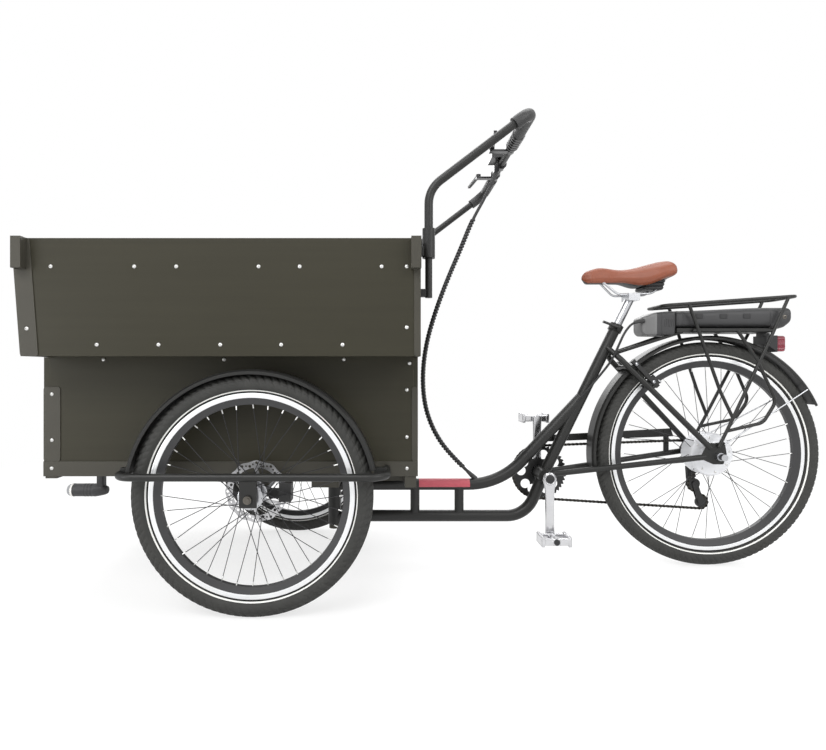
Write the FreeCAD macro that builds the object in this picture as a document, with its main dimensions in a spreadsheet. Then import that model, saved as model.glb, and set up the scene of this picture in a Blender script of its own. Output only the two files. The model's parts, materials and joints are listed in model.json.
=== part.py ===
import FreeCAD, Part
import math
import os
import re

doc = FreeCAD.newDocument("CargoTricycle")
sheet = doc.addObject("Spreadsheet::Sheet", "Sizes")
V = FreeCAD.Vector
nodes = {}

# Wheels
front_tyre_radius = 301
front_rim_radius = 256
front_rim_inner = 226
rear_tyre_radius = 350
rear_rim_radius = 303
rear_rim_inner = 271
tyre_half_width = 23.5
rim_half_width = 13
rim_seat_depth = 6
rim_wall = 2.5
spoke_radius = 1.1
spoke_pairs = 18
running_gap = 0.05
side_gap = 0.3
front_axle_x = -512
front_track_half = 390
rear_axle_x = 830
axle_radius = 6
hub_radius = 17
hub_flange_radius = 31
hub_flange_offset = 26
hub_flange_thick = 3
rotor_offset = 45
rotor_radius = 80
rotor_thick = 2
rotor_ring = 17
motor_radius = 67
motor_left = 44
motor_right = 30
freewheel_bore = 14

# Box
board = 12
box_front_x = -1080
box_rear_x = -96
upper_front_x = -1068
upper_lean = 0.076
box_base_z = 336
upper_low_z = 646
ledge_z = 668
box_top_z = 933
lower_half = 305
upper_half = 424
trim_thick = 2
trim_width = 44
trim_narrow = 16
trim_corner = 8
trim_top_z = 568
angle_thick = 3
angle_leg = 36
socket_size = 24
socket_height = 76
socket_bore = 9.5

# Carriage
kingpin_x = -340
kingpin_radius = 10
head_radius = 20
head_low_z = 130
head_top_z = 274
under_tube = 30
under_half = 210
axle_plate_thick = 10
axle_plate_half = 26
rail_radius = 9.5
rail_z = 354
rail_half = 440
rail_front_x = -838
rail_rear_x = -178
rail_bend = 45
hanger_thick = 6
hanger_half = 21
fender_gap = 9
fender_thick = 3
fender_half = 31
fender_lip = 9
front_fender_start = 12.4
front_fender_end = 169

# Handle
bar_radius = 11
bar_half = 363
post_x = -72
sleeve_radius = 16
sleeve_low_z = 895
sleeve_top_z = 970
post_low_z = 795
post_radius = 9
bar_knee_z = 1070
bar_top_x = 192
bar_top_z = 1271
bar_knee_bend = 75
bar_corner_bend = 45
grip_wall = 5.5
left_grip_in = 216
right_grip_in = 186
shifter_in = 122
shifter_gap = 0.3
left_clamp_y = -105
right_clamp_y = 140
clamp_half = 10
lever_reach = 56
lever_length = 125

# Main frame
main_tube_radius = 18
upper_tube_z = 252
lower_tube_z = 153
knee_x = 180
knee_bend = 230
sweep_x = 262
sweep_bend = 90
bracket_x = 317
bracket_z = 282
bracket_half = 36
bracket_radius = 23
spindle_radius = 8
seat_top_x = 550
seat_top_z = 754
seat_tube_radius = 17
seat_post_radius = 13.5
stay_radius = 8.7
dropout_in = 66
dropout_thick = 6
strut_front_x = -87
strut_rear_x = 52
strut_radius = 14.5

# Drive
chain_line = 50
chain_pitch = 12.7
chainring_teeth = 42
window_radius = 15
window_circle = 58
cog_teeth = 18
cog_gap = 4.7
last_cog_step = 0.8
tooth_tip = 3
tooth_half = 1.2
chain_half_height = 4.2
chain_channel = 1.7
chain_half_width = 3.3
crank_length = 170
crank_in = 66
crank_thick = 14
crank_eye = 20
crank_end = 14
pedal_length = 88
pedal_width = 62
pedal_height = 30
pulley_x = 820
pulley_z = 244
tension_x = 839
tension_z = 186
pulley_radius = 22

# Rear equipment
rear_fender_gap = 16
rear_fender_start = 24.7
rear_fender_end = 186
rack_rod = 5
rack_half = 62
deck_z = 728
deck_thick = 12
deck_front_x = 713
deck_rear_x = 1011
rack_front_x = 670
rack_front_z = 809
rack_rear_x = 1079
rack_rear_z = 838
rack_bend = 24
battery_length = 356
battery_height = 70
battery_half = 52
battery_round = 6
controller_length = 100
saddle_length = 284
saddle_setback = 152
cord_radius = 5
lead_radius = 3.5

# Every number named above goes into the sheet
names = [name for name, value in vars().items() if isinstance(value, (int, float))]
for row, name in enumerate(names):
    sheet.set("A%d" % (row + 1), name)
    sheet.set("B%d" % (row + 1), str(vars()[name]))
    sheet.setAlias("B%d" % (row + 1), name)
doc.recompute()


class Values:
    """The sheet's numbers, read by name."""

    def __getattr__(self, name):
        return float(sheet.get(name))


s = Values()


def bind(obj, prop, text):
    """Tie a property to a formula of named sizes."""
    def named(match):
        word = match.group()
        return "Sizes." + word if word in names else word

    formula = re.sub(r"[A-Za-z_]\w*", named, str(text))
    obj.setExpression(prop, formula)


TURN = {
    "X": FreeCAD.Rotation(V(0, 1, 0), 90),
    "Y": FreeCAD.Rotation(V(1, 0, 0), -90),
    "Z": FreeCAD.Rotation(),
}


def place(obj, at, turn="Z"):
    """Turn an object and tie its place to formulas."""
    obj.Placement = FreeCAD.Placement(V(), TURN[turn])
    for letter, text in zip("xyz", at):
        bind(obj, "Placement.Base." + letter, text)
    return obj


def cylinder(name, radius, height, at, turn="Z"):
    obj = doc.addObject("Part::Cylinder", name)
    bind(obj, "Radius", radius)
    bind(obj, "Height", height)
    return place(obj, at, turn)


def block(name, length, width, height, at):
    obj = doc.addObject("Part::Box", name)
    bind(obj, "Length", length)
    bind(obj, "Width", width)
    bind(obj, "Height", height)
    return place(obj, at)


def rod(name, start, end, radius):
    """A straight round bar between two points."""
    obj = doc.addObject("Part::Cylinder", name)
    bind(obj, "Radius", radius)
    line = V(*end) - V(*start)
    obj.Height = line.Length
    obj.Placement = FreeCAD.Placement(V(*start), FreeCAD.Rotation(V(0, 0, 1), line))
    return obj


def feature(name, shape):
    obj = doc.addObject("Part::Feature", name)
    obj.Shape = shape
    return obj


def fuse(name, parts):
    obj = doc.addObject("Part::MultiFuse", name)
    obj.Shapes = parts
    obj.Refine = False
    return obj


def cut(name, base, tool):
    obj = doc.addObject("Part::Cut", name)
    obj.Base = base
    obj.Tool = tool
    return obj


def mirror(name, source):
    """The same piece on the other side of the middle plane."""
    obj = doc.addObject("Part::Mirroring", name)
    obj.Source = source
    obj.Normal = V(0, 1, 0)
    obj.Base = V(0, 0, 0)
    return obj


def group(name, parts):
    obj = doc.addObject("Part::Compound", name)
    obj.Links = parts
    return obj


def node(label, obj):
    """Mark an object as a piece of the assembly."""
    obj.Label = label
    nodes[label] = obj
    return obj


def rounded_path(points, bends):
    """A wire through points, with tangent arcs at the inner ones."""
    points = [V(*p) for p in points]
    edges = []
    last = points[0]
    for i in range(1, len(points) - 1):
        corner = points[i]
        into = (corner - points[i - 1]).normalize()
        out = (points[i + 1] - corner).normalize()
        turn = into.getAngle(out)
        reach = bends[i - 1] * math.tan(turn / 2)
        first = corner - into * reach
        second = corner + out * reach
        inward = (out - into).normalize()
        depth = bends[i - 1] * (1 / math.cos(turn / 2) - 1)
        edges.append(Part.makeLine(last, first))
        edges.append(Part.Arc(first, corner + inward * depth, second).toShape())
        last = second
    edges.append(Part.makeLine(last, points[-1]))
    return Part.Wire(edges)


def bent_tube(name, points, bends, radius):
    """A round tube swept along a path of straights and arcs."""
    path = feature(name + "_path", rounded_path(points, bends))
    start = V(*points[0])
    line = V(*points[1]) - start
    ring = doc.addObject("Part::Circle", name + "_ring")
    bind(ring, "Radius", radius)
    ring.Placement = FreeCAD.Placement(start, FreeCAD.Rotation(V(0, 0, 1), line))
    obj = doc.addObject("Part::Sweep", name)
    obj.Sections = [ring]
    obj.Spine = (path, ["Edge%d" % (i + 1) for i in range(len(path.Shape.Edges))])
    obj.Solid = True
    obj.Frenet = False
    return obj


def turned(name, outline, at, angle=360, start=0):
    """A profile of (radius, along) points turned about the Y axis."""
    points = [V(r, y, 0) for r, y in outline]
    face = feature(name + "_face", Part.Face(Part.makePolygon(points + points[:1])))
    obj = doc.addObject("Part::Revolution", name)
    obj.Source = face
    obj.Axis = V(0, -1, 0)
    obj.Base = V(0, 0, 0)
    obj.Angle = angle
    obj.Solid = True
    obj.Placement = FreeCAD.Placement(V(), FreeCAD.Rotation(V(0, -1, 0), start))
    for letter, text in zip("xyz", at):
        bind(obj, "Placement.Base." + letter, text)
    return obj


def plate(name, outline, y, thick):
    """A flat shape of (x, z) points standing along, thick towards +Y."""
    points = [V(x, y, z) for x, z in outline]
    obj = doc.addObject("Part::Extrusion", name)
    obj.Base = feature(name + "_face", Part.Face(Part.makePolygon(points + points[:1])))
    obj.DirMode = "Custom"
    obj.Dir = V(0, 1, 0)
    obj.Solid = True
    if isinstance(thick, str):
        bind(obj, "LengthFwd", thick)
    else:
        obj.LengthFwd = thick
    return obj


def rounded_outline(corners, radius, steps=4):
    """A closed outline of (x, z) corners, each drawn as a short arc."""
    outline = []
    count = len(corners)
    for i in range(count):
        here = V(corners[i][0], 0, corners[i][1])
        back = V(corners[i - 1][0], 0, corners[i - 1][1]) - here
        ahead = V(corners[(i + 1) % count][0], 0, corners[(i + 1) % count][1]) - here
        back.normalize()
        ahead.normalize()
        half = back.getAngle(ahead) / 2
        middle = (back + ahead).normalize()
        centre = here + middle * (radius / math.sin(half))
        first = here + back * (radius / math.tan(half)) - centre
        last = here + ahead * (radius / math.tan(half)) - centre
        for k in range(steps + 1):
            spoke = first * (1 - k / steps) + last * (k / steps)
            spoke.normalize()
            point = centre + spoke * radius
            outline.append((point.x, point.z))
    return outline


def soften(name, base, radius):
    """The same body with all its edges rounded."""
    doc.recompute()
    obj = doc.addObject("Part::Fillet", name)
    obj.Base = base
    obj.Edges = [(i + 1, radius, radius) for i in range(len(base.Shape.Edges))]
    return obj


# Tyres and rims
def tyre(name, outer, rim, at):
    """A tyre whose section is a round bulge on the rim's seat."""
    seat = rim - s.rim_seat_depth
    neck = s.rim_half_width - s.rim_wall
    middle = (rim + outer) / 2
    bead_a = V(seat, -neck, 0)
    neck_a = V(rim, -neck, 0)
    side_a = V(middle + 1, -s.tyre_half_width, 0)
    top = V(outer, 0, 0)
    shoulder_a = V(outer - 9, -s.tyre_half_width * 0.72, 0)
    wall = Part.Arc(neck_a, side_a, shoulder_a).toShape()
    tread = Part.Arc(shoulder_a, top, V(shoulder_a.x, -shoulder_a.y, 0)).toShape()
    wall_b = Part.Arc(V(shoulder_a.x, -shoulder_a.y, 0), V(side_a.x, -side_a.y, 0),
                      V(rim, neck, 0)).toShape()
    edges = [
        Part.makeLine(bead_a, neck_a),
        wall,
        tread,
        wall_b,
        Part.makeLine(V(rim, neck, 0), V(seat, neck, 0)),
        Part.makeLine(V(seat, neck, 0), bead_a),
    ]
    face = feature(name + "_face", Part.Face(Part.Wire(edges)))
    obj = doc.addObject("Part::Revolution", name)
    obj.Source = face
    obj.Axis = V(0, -1, 0)
    obj.Angle = 360
    obj.Solid = True
    for letter, text in zip("xyz", at):
        bind(obj, "Placement.Base." + letter, text)
    return obj


def rim(name, outer, inner, at):
    """A double-walled rim with a seat for the tyre."""
    half = s.rim_half_width
    neck = half - s.rim_wall
    seat = outer - s.rim_seat_depth
    foot = half * 0.5
    outline = [(inner, -foot), (seat - 8, -half), (outer, -half), (outer, -neck), (seat, -neck)]
    outline += [(seat, neck), (outer, neck), (outer, half), (seat - 8, half), (inner, foot)]
    return turned(name, outline, at)


def spokes(name, flange, flange_y, inner, at, cross):
    """Laced spokes from both flanges to the inside of the rim."""
    shapes = []
    pairs = int(s.spoke_pairs)
    step = 2 * math.pi / pairs
    for side in (0, 1):
        for i in range(pairs):
            hub_angle = step * (i + 0.5 * side)
            lean = cross if i % 2 else -cross
            rim_angle = hub_angle + lean
            start = V(flange * math.cos(hub_angle), flange_y[side], flange * math.sin(hub_angle))
            end_y = flange_y[side] * 0.12
            end = V(inner * math.cos(rim_angle), end_y, inner * math.sin(rim_angle))
            line = end - start
            start.y += s.spoke_radius * (1 if i % 2 else -1)
            across = line.cross(V(0, 1, 0)).normalize()
            over = line.cross(across).normalize()
            ring = []
            for k in range(6):
                turn = math.radians(60 * k)
                ring.append(start + (across * math.cos(turn) + over * math.sin(turn)) * s.spoke_radius)
            shapes.append(Part.Face(Part.makePolygon(ring + ring[:1])).extrude(line))
    obj = feature(name, Part.makeCompound(shapes))
    for letter, text in zip("xyz", at):
        bind(obj, "Placement.Base." + letter, text)
    return obj


def toothed(name, teeth, at, y, thick, bore):
    """A sprocket with one straight-sided tooth to each link."""
    pitch = s.chain_pitch / (2 * math.sin(math.pi / teeth))
    points = []
    for i in range(int(teeth)):
        base = 2 * math.pi * i / teeth
        for part, radius in ((-0.30, pitch - 3.6), (-0.10, pitch + s.tooth_tip),
                             (0.10, pitch + s.tooth_tip)):
            angle = base + part * 2 * math.pi / teeth
            points.append((at[0] + radius * math.cos(angle), at[1] + radius * math.sin(angle)))
    disc = plate(name + "_disc", points, y - thick / 2, thick)
    hole = cylinder(name + "_hole", bore, thick + 2, (at[0], y - thick / 2 - 1, at[1]), "Y")
    return cut(name, disc, hole)


FRONT_LEFT = ("front_axle_x", "-front_track_half", "front_tyre_radius")
FRONT_RIGHT = ("front_axle_x", "front_track_half", "front_tyre_radius")
REAR = ("rear_axle_x", "0", "rear_tyre_radius")

node("front_tyre_left", tyre("tyre_fl", s.front_tyre_radius, s.front_rim_radius, FRONT_LEFT))
node("front_tyre_right", tyre("tyre_fr", s.front_tyre_radius, s.front_rim_radius, FRONT_RIGHT))
node("rear_tyre", tyre("tyre_r", s.rear_tyre_radius, s.rear_rim_radius, REAR))
node("front_rim_left", rim("rim_fl", s.front_rim_radius, s.front_rim_inner, FRONT_LEFT))
node("front_rim_right", rim("rim_fr", s.front_rim_radius, s.front_rim_inner, FRONT_RIGHT))
node("rear_rim", rim("rim_r", s.rear_rim_radius, s.rear_rim_inner, REAR))


# Front hubs with spokes and rotors
def front_hub(name, at, inside):
    """Hub shell, flanges, rotor and spokes as one turning piece, rotor towards the box."""
    bore = s.axle_radius + s.running_gap
    flange = s.hub_flange_offset
    half = s.hub_flange_thick / 2
    rotor = s.rotor_offset
    thick = s.rotor_thick / 2
    outline = [(bore, -flange - 8), (s.hub_radius - 4, -flange - 8), (s.hub_radius, -flange - half)]
    outline += [(s.hub_flange_radius, -flange - half), (s.hub_flange_radius, -flange + half)]
    outline += [(s.hub_radius, -flange + half), (s.hub_radius, flange - half),
                (s.hub_flange_radius, flange - half)]
    outline += [(s.hub_flange_radius, flange + half), (s.hub_radius + 5, flange + half)]
    outline += [(s.hub_radius + 5, rotor + thick), (s.hub_radius - 4, rotor + thick + 8),
                (bore, rotor + thick + 8)]
    outline = [(r, y * inside) for r, y in outline]
    shell = turned(name + "_shell", outline, at)
    inner = s.rotor_radius - s.rotor_ring
    low = (rotor - thick) * inside
    high = (rotor + thick) * inside
    ring = turned(name + "_ring", [(inner, low), (s.rotor_radius, low), (s.rotor_radius, high),
                                   (inner, high)], at)
    arms = []
    for i in range(6):
        angle = math.radians(60 * i + 14)
        swept = angle + math.radians(22)
        near = V((s.hub_radius + 3) * math.cos(angle), 0, (s.hub_radius + 3) * math.sin(angle))
        far = V((inner + 5) * math.cos(swept), 0, (inner + 5) * math.sin(swept))
        across = (far - near).cross(V(0, 1, 0)).normalize() * 4
        corners = [near - across, far - across, far + across, near + across]
        face = Part.Face(Part.makePolygon(corners + corners[:1]))
        face.translate(V(0, min(low, high), 0))
        arms.append(face.extrude(V(0, s.rotor_thick, 0)))
    spider = feature(name + "_arms", Part.makeCompound(arms))
    for letter, text in zip("xyz", at):
        bind(spider, "Placement.Base." + letter, text)
    root = s.hub_flange_radius - 3.5
    end = s.front_rim_inner - s.running_gap
    wires = spokes(name + "_spokes", root, (-flange, flange), end, at, math.radians(60))
    return fuse(name, [shell, ring, spider, wires])


node("front_hub_left", front_hub("hub_fl", FRONT_LEFT, 1))
node("front_hub_right", front_hub("hub_fr", FRONT_RIGHT, -1))

# Rear hub motor, freewheel and axle
bore = s.axle_radius + s.running_gap
motor_outline = [(bore, -s.motor_left), (30, -s.motor_left), (42, -s.motor_left + 6)]
motor_outline += [(s.motor_radius - 4, -s.motor_left + 9), (s.motor_radius, -s.motor_left + 13)]
motor_outline += [(s.motor_radius, s.motor_right - 4), (s.motor_radius - 4, s.motor_right)]
motor_outline += [(s.freewheel_bore, s.motor_right), (s.freewheel_bore, s.dropout_in - 5),
                  (bore, s.dropout_in - 5)]
motor_shell = turned("motor_shell", motor_outline, REAR)
motor_reach = s.rear_rim_inner - s.running_gap
motor_wires = spokes("motor_spokes", s.motor_radius - 2, (-26, 22), motor_reach, REAR, math.radians(20))
node("rear_hub_motor", fuse("hub_motor", [motor_shell, motor_wires]))

axle_half = s.dropout_in + s.dropout_thick
rear_axle = [
    cylinder("rear_axle_bar", "axle_radius", 2 * axle_half + 32,
             ("rear_axle_x", -axle_half - 16, "rear_tyre_radius"), "Y"),
    cylinder("rear_nut_left", 12, 12, ("rear_axle_x", -axle_half - 12, "rear_tyre_radius"), "Y"),
    cylinder("rear_nut_right", 12, 12, ("rear_axle_x", axle_half, "rear_tyre_radius"), "Y"),
    cylinder("rear_cap", 10, 20, ("rear_axle_x", -axle_half - 32, "rear_tyre_radius"), "Y"),
    cylinder("rear_spacer", 10, "dropout_in - motor_left - side_gap",
             ("rear_axle_x", "-dropout_in", "rear_tyre_radius"), "Y"),
    cylinder("rear_spacer_right", 10, 5 - s.side_gap, ("rear_axle_x", s.dropout_in - 5 + s.side_gap,
                                                       "rear_tyre_radius"), "Y"),
]
node("rear_axle", fuse("rear_axle_all", rear_axle))

cogs = []
cog_bore = s.freewheel_bore + s.running_gap
rear_centre = (s.rear_axle_x, s.rear_tyre_radius)
for index, teeth in enumerate((28, 24, 21, s.cog_teeth, 16, 14)):
    cog_y = s.chain_line + (index - 3) * s.cog_gap
    if index == 5:
        cog_y -= s.last_cog_step
    cogs.append(toothed("cog_%d" % index, teeth, rear_centre, cog_y, 2 * s.tooth_half, cog_bore))
core_low = s.chain_line - 3 * s.cog_gap - 3
core_high = s.chain_line + 2 * s.cog_gap + 0.4
core_outline = [(cog_bore, core_low), (22, core_low), (22, core_high), (cog_bore, core_high)]
cogs.append(turned("freewheel_core", core_outline, REAR))
node("freewheel", fuse("freewheel_all", cogs))


# Box panels
def front_face(z, inset=0):
    """Where the front stands at a height, upright below and leaning above."""
    if z < s.upper_low_z:
        return s.box_front_x + inset
    return s.upper_front_x - s.upper_lean * (z - s.upper_low_z) + inset


def side_outline(low, high):
    """A side board's outline between the front and rear boards."""
    rear = s.box_rear_x - s.board
    return [(front_face(low, s.board), low), (rear, low), (rear, high), (front_face(high, s.board), high)]


def leaning_outline(low, high, width):
    """A strip of the front face between two heights."""
    return [(front_face(low), low), (front_face(low, width), low),
            (front_face(high, width), high), (front_face(high), high)]


lower_side = side_outline(s.box_base_z, s.ledge_z)
lower_side.append((front_face(s.upper_low_z, s.board), s.upper_low_z))
lower_side.append((s.box_front_x + s.board, s.upper_low_z))
upper_side = side_outline(s.upper_low_z, s.box_top_z)
node("lower_side_panel_left", plate("lower_left", lower_side, -s.lower_half, "board"))
node("lower_side_panel_right", plate("lower_right", lower_side, s.lower_half - s.board, "board"))
node("upper_side_panel_left", plate("upper_left", upper_side, -s.upper_half, "board"))
node("upper_side_panel_right", plate("upper_right", upper_side, s.upper_half - s.board, "board"))
upper_lean = leaning_outline(s.upper_low_z, s.box_top_z, s.board)
node("lower_front_panel", block("lower_front", "board", "2 * lower_half", "upper_low_z - box_base_z",
                                ("box_front_x", "-lower_half", "box_base_z")))
node("upper_front_panel", plate("upper_front", upper_lean, -s.upper_half, "2 * upper_half"))
node("lower_rear_panel", block("lower_rear", "board", "2 * lower_half", "upper_low_z - box_base_z",
                               ("box_rear_x - board", "-lower_half", "box_base_z")))
node("upper_rear_panel", block("upper_rear", "board", "2 * upper_half", "box_top_z - upper_low_z",
                               ("box_rear_x - board", "-upper_half", "upper_low_z")))
floor_side = side_outline(s.box_base_z, s.box_base_z + s.board)
node("floor_panel", plate("floor", floor_side, -s.lower_half + s.board, "2 * (lower_half - board)"))
ledge_side = side_outline(s.ledge_z, s.ledge_z + s.board)
ledge_width = "upper_half - lower_half"
ledge_left = plate("ledge_left", ledge_side, -s.upper_half + s.board, ledge_width)
ledge_right = plate("ledge_right", ledge_side, s.lower_half - s.board, ledge_width)
node("ledge_boards", group("ledges", [ledge_left, ledge_right]))


# Corner strips and canopy sockets
def strip(name, corners, half):
    """A thin metal strip with rounded corners on the side board."""
    outline = rounded_outline(corners, s.trim_corner - 1)
    return plate(name, outline, -half - s.trim_thick, "trim_thick")


def upright(x, width, low, high):
    return [(x, low), (x + width, low), (x + width, high), (x, high)]


angle_top = s.box_base_z + s.angle_leg
rear_strip_x = s.box_rear_x - s.trim_narrow
strips = [
    strip("strip_front_low", upright(s.box_front_x, s.trim_width, angle_top, s.trim_top_z), s.lower_half),
    strip("strip_rear_low", upright(rear_strip_x, s.trim_narrow, angle_top, s.trim_top_z), s.lower_half),
    strip("strip_front_up", leaning_outline(s.upper_low_z, s.box_top_z, s.trim_width), s.upper_half),
    strip("strip_rear_up", upright(rear_strip_x, s.trim_narrow, s.upper_low_z, s.box_top_z),
          s.upper_half),
]
strips_left = group("strips_left", strips)
node("box_metal_trim", group("strips", [strips_left, mirror("strips_right", strips_left)]))


def socket(name, x):
    """A square sleeve outside the top corner that takes a round canopy pole."""
    body = block(name + "_body", "socket_size", "socket_size", "socket_height",
                 (x, "-upper_half - trim_thick - socket_size", "box_top_z - socket_height"))
    hole = cylinder(name + "_hole", "socket_bore", "socket_height + 2",
                    ("%s + socket_size / 2" % x, "-upper_half - trim_thick - socket_size / 2",
                     "box_top_z - socket_height - 1"))
    return cut(name, body, hole)


sockets_left = group("sockets_left", [
    socket("socket_front", "box_front_x + 3"),
    socket("socket_rear", "box_rear_x - socket_size"),
])
node("canopy_sockets", group("sockets", [sockets_left, mirror("sockets_right", sockets_left)]))

# Carriage frame
tray_length = "box_rear_x - box_front_x"
tube = "under_tube"
beam_z = "box_base_z - angle_thick - under_tube"
beam_front = "front_axle_x - 240"
beam_length = "box_rear_x - front_axle_x + 236"
carriage = [
    block("tray_left", tray_length, "angle_thick", "angle_leg + angle_thick",
          ("box_front_x", "-lower_half - angle_thick", "box_base_z - angle_thick")),
    block("tray_right", tray_length, "angle_thick", "angle_leg + angle_thick",
          ("box_front_x", "lower_half", "box_base_z - angle_thick")),
    block("tray_left_foot", tray_length, 40, "angle_thick",
          ("box_front_x", "-lower_half", "box_base_z - angle_thick")),
    block("tray_right_foot", tray_length, 40, "angle_thick",
          ("box_front_x", "lower_half - 40", "box_base_z - angle_thick")),
    block("cross_front", tube, "2 * lower_half", 6,
          ("box_front_x + 4", "-lower_half", "box_base_z - angle_thick - 6")),
    block("cross_axle", "1.4 * under_tube", "2 * lower_half", tube,
          ("front_axle_x - 0.7 * under_tube", "-lower_half", beam_z)),
    block("cross_kingpin", "2.4 * under_tube", "2 * lower_half", tube,
          ("kingpin_x - 1.2 * under_tube", "-lower_half", beam_z)),
    block("cross_rear", tube, "2 * lower_half", tube, ("box_rear_x - under_tube - 4", "-lower_half",
                                                       beam_z)),
    block("long_left", beam_length, tube, tube, (beam_front, "-under_half", beam_z)),
    block("long_right", beam_length, tube, tube, (beam_front, "under_half - under_tube", beam_z)),
    cylinder("kingpin_boss", "1.6 * head_radius", beam_z + " - head_top_z - side_gap",
             ("kingpin_x", 0, "head_top_z + side_gap")),
    cylinder("kingpin_bar", "kingpin_radius", beam_z + " - head_low_z + 14",
             ("kingpin_x", 0, "head_low_z - 14")),
    cylinder("kingpin_nut", "1.7 * kingpin_radius", "14 - side_gap", ("kingpin_x", 0, "head_low_z - 14")),
]
for side, y in (("left", "-lower_half - axle_plate_thick"), ("right", "lower_half")):
    carriage.append(block("axle_plate_" + side, "2 * axle_plate_half", "axle_plate_thick",
                          "box_base_z - front_tyre_radius + 20",
                          ("front_axle_x - axle_plate_half", y, "front_tyre_radius - 20")))
carriage_solid = fuse("carriage_solid", carriage)
axle_hole = cylinder("axle_hole", "axle_radius + running_gap", "2 * (lower_half + axle_plate_thick) + 2",
                     ("front_axle_x", "-lower_half - axle_plate_thick - 1", "front_tyre_radius"), "Y")
carriage_frame = node("carriage_frame", cut("carriage", carriage_solid, axle_hole))

# Wheel guard rails with the hanging axle plates
rail_in = s.lower_half + s.angle_thick
rail_points = [(s.rail_front_x, -rail_in, s.rail_z), (s.rail_front_x, -s.rail_half, s.rail_z),
               (s.rail_rear_x, -s.rail_half, s.rail_z), (s.rail_rear_x, -rail_in, s.rail_z)]
rail = bent_tube("rail", rail_points, [s.rail_bend] * 2, "rail_radius")
hanger = block("hanger", "2 * hanger_half", "hanger_thick", "rail_z - front_tyre_radius + 20",
               ("front_axle_x - hanger_half", "-rail_half - hanger_thick / 2", "front_tyre_radius - 20"))
hanger_hole = cylinder("hanger_hole", "axle_radius + running_gap", "hanger_thick + 2",
                       ("front_axle_x", "-rail_half - hanger_thick / 2 - 1", "front_tyre_radius"), "Y")
rail_left = cut("rail_left", fuse("rail_solid", [rail, hanger]), hanger_hole)
node("wheel_guard_rails", group("rails", [rail_left, mirror("rail_right", rail_left)]))

axle_left = fuse("axle_left", [
    cylinder("axle_bar", "axle_radius", "rail_half - lower_half + 14",
             ("front_axle_x", "-rail_half - 14", "front_tyre_radius"), "Y"),
    cylinder("axle_nut", 10, 8, ("front_axle_x", "-rail_half - hanger_thick / 2 - 8",
                                 "front_tyre_radius"), "Y"),
    cylinder("axle_sleeve_out", 9,
             "rail_half - hanger_thick / 2 - front_track_half - hub_flange_offset - 8 - side_gap",
             ("front_axle_x", "-rail_half + hanger_thick / 2", "front_tyre_radius"), "Y"),
    cylinder("axle_sleeve_in", 9, s.front_track_half - s.rotor_offset - s.rotor_thick / 2 - 8 - s.side_gap
             - s.lower_half - s.axle_plate_thick,
             ("front_axle_x", -s.front_track_half + s.rotor_offset + s.rotor_thick / 2 + 8 + s.side_gap,
              "front_tyre_radius"), "Y"),
])
node("front_axles", group("axles", [axle_left, mirror("axle_right", axle_left)]))


# Fenders
def fender(name, radius, start, end, at):
    """A shallow channel bent round a wheel."""
    half = s.fender_half
    thick = s.fender_thick
    lip = s.fender_lip
    outline = [(radius - lip, -half), (radius - 2, -half), (radius + thick, -half + 7),
               (radius + thick, half - 7)]
    outline += [(radius - 2, half), (radius - lip, half), (radius - lip, half - 2),
                (radius - 3, half - 2)]
    outline += [(radius, half - 8), (radius, -half + 8), (radius - 3, -half + 2),
                (radius - lip, -half + 2)]
    return turned(name, outline, at, end - start, start)


front_fender_radius = s.front_tyre_radius + s.fender_gap
arc_left = fender("arc_left", front_fender_radius, s.front_fender_start, s.front_fender_end, FRONT_LEFT)
tab_rear_x = s.front_axle_x + front_fender_radius * math.cos(math.radians(s.front_fender_start))
tab_front_x = s.front_axle_x + front_fender_radius * math.cos(math.radians(s.front_fender_end))
tabs = [
    block("tab_rear", s.rail_rear_x - tab_rear_x, 20, 22,
          (tab_rear_x, "-front_track_half - 10", "rail_z - 5")),
    block("tab_front", tab_front_x - s.rail_front_x, 20, 16,
          ("rail_front_x", "-front_track_half - 10", "rail_z")),
]
fender_left = cut("fender_left", fuse("fender_solid", [arc_left] + tabs), rail_left)
node("front_fenders", group("fenders", [fender_left, mirror("fender_right", fender_left)]))

# Brake calipers on the axle plates, with their arms
rotor_y = -s.front_track_half + s.rotor_offset
plate_y = -s.lower_half - s.axle_plate_thick
caliper_x = s.front_axle_x + 60
caliper_low = s.front_tyre_radius - 24
caliper_body = block("caliper_body", 30, plate_y - rotor_y + 12, 48,
                     (caliper_x, rotor_y - 15, caliper_low))
caliper_foot = block("caliper_foot", caliper_x - s.front_axle_x - s.axle_plate_half + 5, 10, 26,
                     (s.front_axle_x + s.axle_plate_half, plate_y - 4, caliper_low))
caliper_slot = block("caliper_slot", s.rotor_radius - 60 + 4, s.rotor_thick + 2, 60,
                     (caliper_x - 2, rotor_y - s.rotor_thick / 2 - 1, caliper_low - 2))
caliper_left = cut("caliper_left", fuse("caliper_solid", [caliper_body, caliper_foot]), caliper_slot)
node("brake_calipers", group("calipers", [caliper_left, mirror("caliper_right", caliper_left)]))
arm_x = caliper_x + 16
arm_z = s.front_tyre_radius + 4
arm_y = plate_y - 3 + s.side_gap
arm_left = fuse("arm_left", [
    cylinder("arm_boss", 8, 6, (arm_x, arm_y, arm_z), "Y"),
    block("arm_blade", 8, 4, 40, (arm_x - 4, arm_y + 1, arm_z)),
])
node("caliper_arm_left", arm_left)
node("caliper_arm_right", mirror("arm_right", arm_left))

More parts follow.
